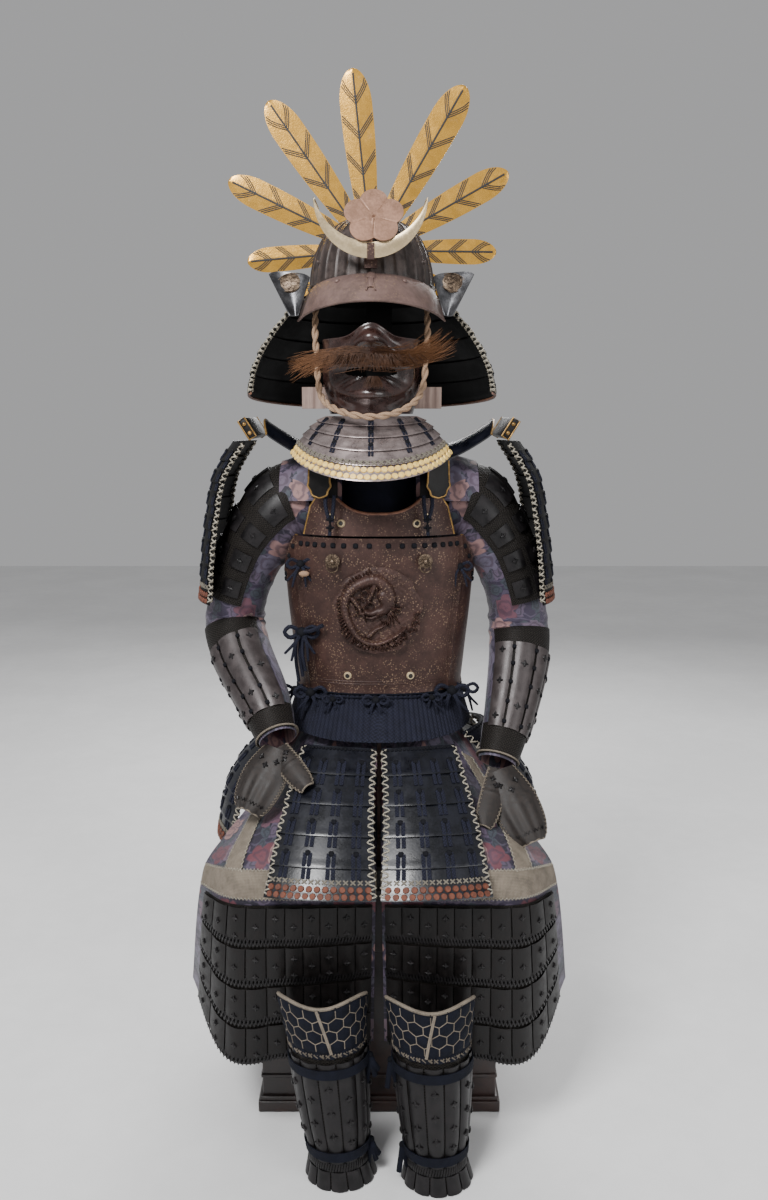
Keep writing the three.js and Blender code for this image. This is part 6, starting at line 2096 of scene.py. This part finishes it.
# ------------------------------------------------------------------ skirt
@dataclass
class Tasset:
    """One hanging panel of the skirt."""

    name: str
    top_in: Vector
    top_out: Vector
    hem_in: Vector
    hem_out: Vector
    top: float
    hem: float
    bulge: float

    def skin(self) -> Skin:
        """From its inner to its outer edge, and down."""
        middle = (self.top_in + self.top_out + self.hem_in + self.hem_out) / 4
        out = Vector((middle.x, middle.y, 0)).normalized()

        def surface(u: float, v: float) -> Vector:
            """A point of the panel."""
            top, hem = self.top_in.lerp(self.top_out, u), self.hem_in.lerp(self.hem_out, u)
            spot = top.lerp(hem, v)
            swell = self.bulge * (sin(clamp(v) * pi) + 1 - (2 * u - 1) ** 2)
            return Vector((spot.x, spot.y, lerp(self.top, self.hem, v) + 0.3 * swell)) + out * swell
        return Skin(surface, Vector((middle.x, middle.y, 0)) * 0.3 + Vector((0, 0, self.hem - 100)))

    def build(self) -> None:
        """Makes the lames, lacing, edging and discs."""
        lames = Lames(self.skin(), 5, columns=26, step=3.4)
        cords, pale = Shape(), Shape()
        lames.make(f"{self.name}_lames", BLACK, self.name)
        lames.laces(cords, (0.16, 0.39, 0.62, 0.85), width=6.5, gap=8.5, knot=square_knot_mesh(9, 2.6))
        lames.row(cords, square_knot_mesh(5.0, 2.2), 0.02, 20)
        cords.make(f"{self.name}_lacing", NAVY)
        cross = cross_lace_mesh(11, 2.6, 1.3)
        lames.whip(pale, 19, 11.0, 1.5)
        lames.row(pale, cross, 0.885, 15, (0.03, 0.97))
        pale.make(f"{self.name}_edging", WHITE_CORD)
        lames.disc_rows(f"{self.name}_discs", DISC_COPPER, disc_mesh(5.6, 2.2), {0.93: 13, 0.975: 14},
                        (0.02, 0.98))


@dataclass
class Skirt:
    """The suspension lacing and the seven tassets."""

    cuirass: Cuirass

    def lacing(self) -> None:
        """Close navy cords from the waist down to the tassets."""
        def surface(u: float, v: float) -> Vector:
            """Once round, and down."""
            turn = u * 360
            signed = turn - 360 if turn > 180 else turn
            top = self.cuirass.point(signed, self.cuirass.waist)
            front = max(0.0, cos(radians(turn)))
            x = top.x * (1 + 0.14 * v) * 0.985
            y = top.y * (1 + (0.2 + 0.42 * front) * v) * 0.985
            return Vector((x, y, lerp(768, 698, v)))
        skin = Skin(surface, (0, 0, 730))
        shape = Shape()
        shape.sheet(skin, 560, 8, 1.2, lambda u, v: 2.2 * abs(sin(u * pi * 112)) ** 0.8)
        shape.make("suspension_lacing", NAVY, ["tasset_cords"])
        belt = Shape()
        for v, wide in ((0.02, 3.4), (0.1, 2.6)):
            belt.tube([skin.point(k / 120, v, 4.0 + 0.8 * sin(k * 1.9)) for k in range(121)], wide, 6, 0.6)
        belt.make("waist_cord", NAVY_CLOTH)

    def build(self) -> None:
        """Makes the lacing and every tasset."""
        self.lacing()
        panels = (("tasset_front", (5, -194), (134, -168), (5, -392), (184, -376), 690, 498, 16),
                  ("tasset_side", (152, -96), (176, 36), (272, -112), (286, 58), 690, 462, 30),
                  ("tasset_rear", (172, 50), (72, 131), (272, 84), (118, 226), 690, 456, 12))
        for name, *corners, top, hem, bulge in panels:
            for tag, side in (("l", 1), ("r", -1)):
                spots = [Vector((side * x, y, 0)) for x, y in corners]
                Tasset(f"{name}_{tag}", *spots, top, hem, bulge).build()
        spots = [Vector((x, y, 0)) for x, y in ((64, 136), (-64, 136), (104, 232), (-104, 232))]
        Tasset("tasset_back", *spots, 690, 456, 12).build()


# ------------------------------------------------------------------ thigh apron
APRON_LINES = {"belt": 0.0, "seat": 0.17, "thigh": 0.38, "knee": 0.54, "hem": 1.0}
APRON_COLUMNS = "at " + " ".join(f"{line}_{axis}" for line in APRON_LINES for axis in "xyz")
APRON = table(
    APRON_COLUMNS, (0, 4, -98, 742, 4, -156, 640, 4, -262, 560, 5, -322, 500, 10, -300, 196),
    (0.25, 38, -95, 742, 62, -152, 650, 78, -272, 584, 84, -342, 512, 86, -316, 186),
    (0.5, 70, -86, 742, 120, -145, 650, 150, -270, 588, 160, -345, 514, 166, -322, 180),
    (0.75, 98, -70, 742, 178, -128, 620, 222, -240, 560, 244, -318, 504, 264, -300, 164),
    (1, 122, -48, 742, 226, -98, 574, 276, -172, 522, 308, -232, 480, 346, -160, 236),
)


@dataclass
class ThighApron(Sided):
    """One half of the apron: brocade, bands, rows of plates and mail."""

    rows: int = 4
    plates: int = 10

    def skin(self) -> Skin:
        """Outwards from its inner edge, and down."""
        def surface(u: float, v: float) -> Vector:
            """A point of the cloth."""
            row = section(APRON, clamp(u))
            stations = [{"at": at, **{axis: row[f"{line}_{axis}"] for axis in "xyz"}} for line,
                        at in APRON_LINES.items()]
            spot = section(stations, v)
            return Vector((self.side * spot["x"], spot["y"], spot["z"]))
        return Skin(surface, (self.side * 120, -150, 400)).baked(64, 96)

    def build(self) -> None:
        """Makes the cloth, its bands, the plates and the mail."""
        skin = self.skin()
        cloth = Shape()

        def folds(u: float, v: float) -> float:
            """Soft puckers over the thigh and towards the hem."""
            return (2.4 * sin(u * 17 + 5 * v) * bump(v, 0.3, 0.16) + 1.4 * sin(u * 31 + 2.0) * bump(v, 0.2,
                                                                                                    0.14)
                    + 1.2 * sin(u * 26 + 1.0) * bump(v, 0.9, 0.15) * (u > 0.9))
        cloth.sheet(skin, 60, 80, 1.6, folds)
        sheet = cloth.make(f"apron_brocade_{self.tag}", BROCADE, [f"thigh_cloth_{self.tag}"])
        skin.width(0.6) * MM
        skin.height(0.5) * MM
        self.area(skin)
        bands, stitches = Shape(), Shape()
        thigh = (80, 6, (0.0, 0.985), (0.515, 0.585), 7,
                 (((0.0, 0.515), (0.985, 0.515)), ((0.0, 0.585), (0.985, 0.585))))
        upright = (6, 40, (0.7, 0.8), (0.12, 0.52), 4,
                   (((0.8, 0.12), (0.8, 0.52)), ((0.7, 0.52), (0.7, 0.12))))
        for columns, rows, u_span, v_span, turns, edges in (thigh, upright):
            bands.sheet(skin, columns, rows, 1.0, 3.8, u_span=u_span, v_span=v_span)
            for start, end in edges:
                for k in range(8):
                    a, b = (tuple(lerp(p, q, t / 8) for p, q in zip(start, end)) for t in (k, k + 1))
                    stitches.stitch(skin, a, b, turns, 4.0, 5.4, 0.8)
        bands.make(f"apron_bands_{self.tag}", HEMP)
        stitches.make(f"apron_stitches_{self.tag}", WHITE_CORD)
        self.armour_rows(skin)

    @staticmethod
    def area(skin: Skin) -> float:
        """The cloth's flat area in square metres."""
        count = 12
        total = 0.0
        for k in range(count):
            v0, v1 = k / count, (k + 1) / count
            total += skin.width((v0 + v1) / 2) * skin.height(0.5, v0, v1, 4)
        return total * MM * MM

    def armour_rows(self, skin: Skin) -> None:
        """Rows of upright plates with knots, and mail between the rows."""
        plates, knots, mail, fringe = Shape(), Shape(), Shape(), Shape()
        knot = cross_knot_mesh(7.0, 3.0)

        def along(u: float, t: float) -> float:
            """Share down the cloth for a share down the plated part."""
            return lerp(0.6, 1.0 - 0.02 * u**6, t)
        armour = Skin(lambda u, t: skin.point(lerp(0.02, 0.93, u), along(u, t), 5.0),
                      (self.side * 120, -150, 400))
        armour = armour.baked(60, 80)
        mail.sheet(armour, 60, 50, 1.0, 0.0)
        for row in range(self.rows):
            v0, v1 = row / self.rows, (row + 1) / self.rows
            for col in range(self.plates):
                u0, u1 = (col + 0.03) / self.plates, (col + 0.97) / self.plates
                plates.sheet(armour, 6, 8, 1.8, lambda s, t: 1.6 + 2.2 * sin(pi * s) ** 0.6 + 1.2 * t,
                             u_span=(u0, u1), v_span=(v0 + 0.012, v1 - 0.05))
                spots = ((0.5, 0.3), (0.5, 0.72)) if (row + col) % 2 else ((0.5, 0.5),)
                knots.stamp(knot, [armour.place(lerp(u0, u1, s), lerp(v0, v1, t), 6.6) for s, t in spots])
            for k in range(56):
                u = (k + 0.5) / 56
                for lean in (-1, 1):
                    fringe.strip(armour, (u - 0.009 * lean, v1 - 0.062), (u + 0.009 * lean, v1 - 0.004), 2.6,
                                 1.4, 3.4 + lean * 0.5, steps=3, arch=1.4)
        plates.make(f"apron_plates_{self.tag}", BROWN, [f"thigh_plates_{self.tag}"])
        knots.make(f"apron_knots_{self.tag}", PLATE)
        mail.make(f"apron_mail_{self.tag}", MAIL)
        fringe.make(f"apron_fringe_{self.tag}", PLATE)


# ------------------------------------------------------------------ shins
@dataclass
class ShinGuard(Sided):
    """One shin guard with its quilted knee."""

    foot_x: float
    knee_x: float
    y: float
    rows: list[Row] = field(default_factory=lambda: table(
        "at wide deep z", (0, 54, 49, 0), (0.2, 47, 43, 48), (0.45, 54, 49, 110), (0.8, 60, 54, 196),
        (1, 60, 54, 242)))

    def centre(self, z: float) -> float:
        """Where the shin's middle is at a height."""
        return lerp(self.foot_x, self.knee_x, z / 338)

    def shin_skin(self) -> Skin:
        """Round the front, and up."""
        def surface(u: float, v: float) -> Vector:
            """A point of the shin guard."""
            row = section(self.rows, v)
            turn = radians(lerp(-102, 102, u))
            return Vector((self.centre(row["z"]) + row["wide"] * sin(turn),
                           self.y - row["deep"] * cos(turn), row["z"]))
        return Skin(surface, (self.centre(140), self.y, 140))

    def knee_skin(self) -> Skin:
        """Round the front, and up to the wavy top edge."""
        def surface(u: float, v: float) -> Vector:
            """A point of the knee guard."""
            s = 2 * u - 1
            turn = radians(s * 96)
            top = 338 + 7 * sin(min(abs(s), 1) * pi) ** 2 - 14 * s**6
            z = lerp(246, top, v)
            return Vector((self.centre(z) + (60 + 10 * v) * sin(turn), self.y - (54 + 10 * v) * cos(turn),
                           z))
        return Skin(surface, (self.centre(290), self.y, 290))

    def shin(self) -> None:
        """Upright splints on mail, with ties round them."""
        skin = self.shin_skin()
        splints, mail, knots, ties = Shape(), Shape(), Shape(), Shape()
        mail.sheet(skin, 48, 40, 1.0, 0.0, v_span=(0.003, 1.0))
        mail.make(f"shin_mail_{self.tag}", MAIL)
        count = 7
        for k in range(count):
            u0, u1 = (k + 0.04) / count, (k + 0.96) / count
            splints.sheet(skin, 8, 30, 2.0, lambda s, t: 1.0 + 3.0 * sin(pi * s) ** 0.7,
                          u_span=(u0, u1), v_span=(0.2, 0.97))
            splints.sheet(skin, 8, 6, 2.0, lambda s, t: 1.0 + 2.4 * sin(pi * s) ** 0.7 + 2 * (1 - t),
                          u_span=(u0, u1), v_span=(0.003, 0.13))
            heights = (0.42, 0.6, 0.78) if k % 2 else (0.36, 0.51, 0.69)
            knots.stamp(cross_knot_mesh(8.0, 3.0), [skin.place((u0 + u1) / 2, v, 6.4) for v in heights])
        splints.make(f"shin_splints_{self.tag}", SHIN_IRON, [f"shin_guard_{self.tag}"])
        knots.make(f"shin_knots_{self.tag}", PLATE)
        for v0, v1 in ((0.22, 0.29), (0.86, 0.93)):
            ties.sheet(skin, 48, 3, 1.6, 6.4, v_span=(v0, v1))
        self.bows(ties, skin)
        ties.make(f"shin_ties_{self.tag}", NAVY_CLOTH)
        hem = Shape()
        for k in range(40):
            u = (k + 0.5) / 40
            hem.strip(skin, (u - 0.01, 0.135), (u + 0.01, 0.195), 3.4, 1.6, 2.6, steps=3, arch=1.4)
        hem.make(f"shin_fringe_{self.tag}", PLATE)

    def bows(self, ties: Shape, skin: Skin) -> None:
        """Tied ends on the inner side of each band."""
        inner = 0.08 if self.side > 0 else 0.92
        for v in (0.255, 0.895):
            knot = skin.point(inner, v, 9)
            for drop, sway in ((-46, -6), (-34, 9), (-22, 15)):
                path = [knot, knot + Vector((sway * 0.4, -10, drop * 0.3)), knot + Vector((sway, -8, drop))]
                ties.tube(spline(path, 10), 4.6, 6, 0.35)
            ties.stamp(rivet_mesh(6, 6), [Matrix.Translation(knot)])

    def knee(self) -> None:
        """Quilted hexagons with pale seams and a braided foot."""
        skin = self.knee_skin()
        pitch, step = 23.0, 0.866  # a hexagon's width, and its rows' distance as a share of it
        wide, high = skin.width(0.5), skin.height(0.5)

        def cell(u: float, v: float) -> float:
            """Distance from the nearest hexagon's middle, 1 at its edge."""
            x, y = u * wide / pitch, v * high / pitch
            best = 9.0
            for shift in (0.0, 0.5):
                a = (x - shift) % 1.0 - 0.5
                b = (y - shift * sqrt(3)) % sqrt(3) - sqrt(3) / 2
                best = min(best, max(abs(a), abs(a) * 0.5 + abs(b) * step) / 0.5)
            return min(best, 1.0)
        pad = Shape()
        pad.sheet(skin, 114, 48, 3.0, lambda u, v: 2.8 * (1 - cell(u, v) ** 2.5))
        quilt = pad.make(f"knee_quilt_{self.tag}", NAVY_CLOTH, [f"knee_guard_{self.tag}"])
        seams = Shape()
        columns, rows = int(wide / pitch) + 1, int(high / pitch / step) + 2
        for row in range(rows):
            for col in range(columns):
                x, y = (col + row % 2 / 2) * pitch, row * pitch * step
                self.hexagon(seams, skin, x / wide, y / high, pitch / wide, pitch / high)
        rim = [skin.point(u, 1.0, 2.4) for u in shares(60)]
        seams.tube(rim, 3.0, 6)
        seams.strip(skin, (0.5 - 0.05 * self.side, 0.1), (0.5 + 0.02 * self.side, 0.98), 5.0, 1.4, 5.0,
                    steps=12)
        for edge in (0.0, 1.0):
            seams.tube([skin.point(edge, v, 2.4) for v in shares(12)], 2.4, 6)
        lames = Lames(self.knee_skin(), 1, step=0.0, thick=3.2)
        lames.row(seams, cross_lace_mesh(9, 2.6, 1.6), 0.05, 22)
        seams.make(f"knee_seams_{self.tag}", HEMP)

    @staticmethod
    def hexagon(shape: Shape, skin: Skin, u: float, v: float, pitch_u: float, pitch_v: float) -> None:
        """Three sides of one hexagon, as cords on the quilt."""
        reach = 1 / sqrt(3)
        for k in range(3):
            spots = []
            for corner in (k, k + 1):
                angle = radians(60 * corner - 30)
                spots.append((u + reach * cos(angle) * pitch_u, v + reach * sin(angle) * pitch_v))
            if all(0 <= a <= 1 and 0.12 <= b <= 0.99 for a, b in spots):
                shape.strip(skin, spots[0], spots[1], 1.6, 1.3, 2.9, steps=2)

    def build(self) -> None:
        """Makes the shin and the knee."""
        self.shin()
        self.knee()


# ------------------------------------------------------------------ camera, light and floor
@dataclass
class Studio:
    """The camera, three soft lights and the floor."""

    eye: Vector = field(default_factory=lambda: Vector((9.0, -1970.0, 1270.0)))
    pitch: float = 10.0
    lens: float = 31.5
    sky: tuple[float, float, float, float] = (0.86, 0.86, 0.87, 1.0)
    sky_strength: float = 0.46

    def camera(self) -> None:
        """Sets the camera in front of the armour."""
        data = bpy.data.cameras.new("camera")
        data.sensor_width = 36.0
        data.lens = self.lens
        eye = bpy.data.objects.new("camera", data)
        eye.location = (self.eye + frame_origin()) * MM
        eye.rotation_euler = (radians(90 - self.pitch), 0.0, 0.0)
        bpy.context.scene.collection.objects.link(eye)
        bpy.context.scene.camera = eye

    def light(self, name: str, spot: tuple[float, float, float], size: float, power: float,
              aim: float) -> None:
        """Adds one soft lamp that looks at the armour's middle line."""
        data = bpy.data.lights.new(name, "AREA")
        data.size = size
        data.energy = power
        lamp = bpy.data.objects.new(name, data)
        lamp.location = spot
        lamp.rotation_euler = (Vector((0, 0, aim)) - Vector(spot)).to_track_quat("-Z", "Y").to_euler()
        bpy.context.scene.collection.objects.link(lamp)

    def build(self) -> None:
        """Makes the floor, the lights and the world."""
        part = bmesh.new()
        bmesh.ops.create_grid(part, x_segments=1, y_segments=1, size=7.0)
        mesh = bpy.data.meshes.new("floor")
        part.to_mesh(mesh)
        part.free()
        mesh.materials.append(PAINT.material(FLOOR))
        floor = bpy.data.objects.new("floor", mesh)
        bpy.context.scene.collection.objects.link(floor)
        self.light("key", (-1.2, -2.3, 3.3), 1.1, 175, 1.0)
        self.light("fill", (2.4, -2.4, 1.8), 2.0, 45, 0.8)
        self.light("back", (0.4, 2.6, 2.8), 1.8, 110, 1.2)
        world = bpy.data.worlds.new("studio")
        world.use_nodes = True
        inputs = world.node_tree.nodes["Background"].inputs
        inputs["Color"].default_value, inputs["Strength"].default_value = self.sky, self.sky_strength
        bpy.context.scene.world = world


def main() -> None:
    """Builds the scene in order."""
    studio = Studio()
    studio.camera()
    studio.build()
    StorageChest().build()
    dress_node("armour_stand", WOOD)
    paint_post_shade()
    Helmet().build()
    FaceMask().build()
    cuirass = Cuirass()
    cuirass.build()
    for side, shift in ((-1, 14.0), (1, 4.0)):
        ArmouredSleeve(side, HANDS[side], shift).build()
    Skirt(cuirass).build()
    for side in (-1, 1):
        ThighApron(side).build()
    ShinGuard(-1, -64, -94, -372).build()
    ShinGuard(1, 99, 84, -384).build()


if __name__ == "__main__":
    logging.basicConfig(level=logging.INFO, format="%(message)s")
    main()
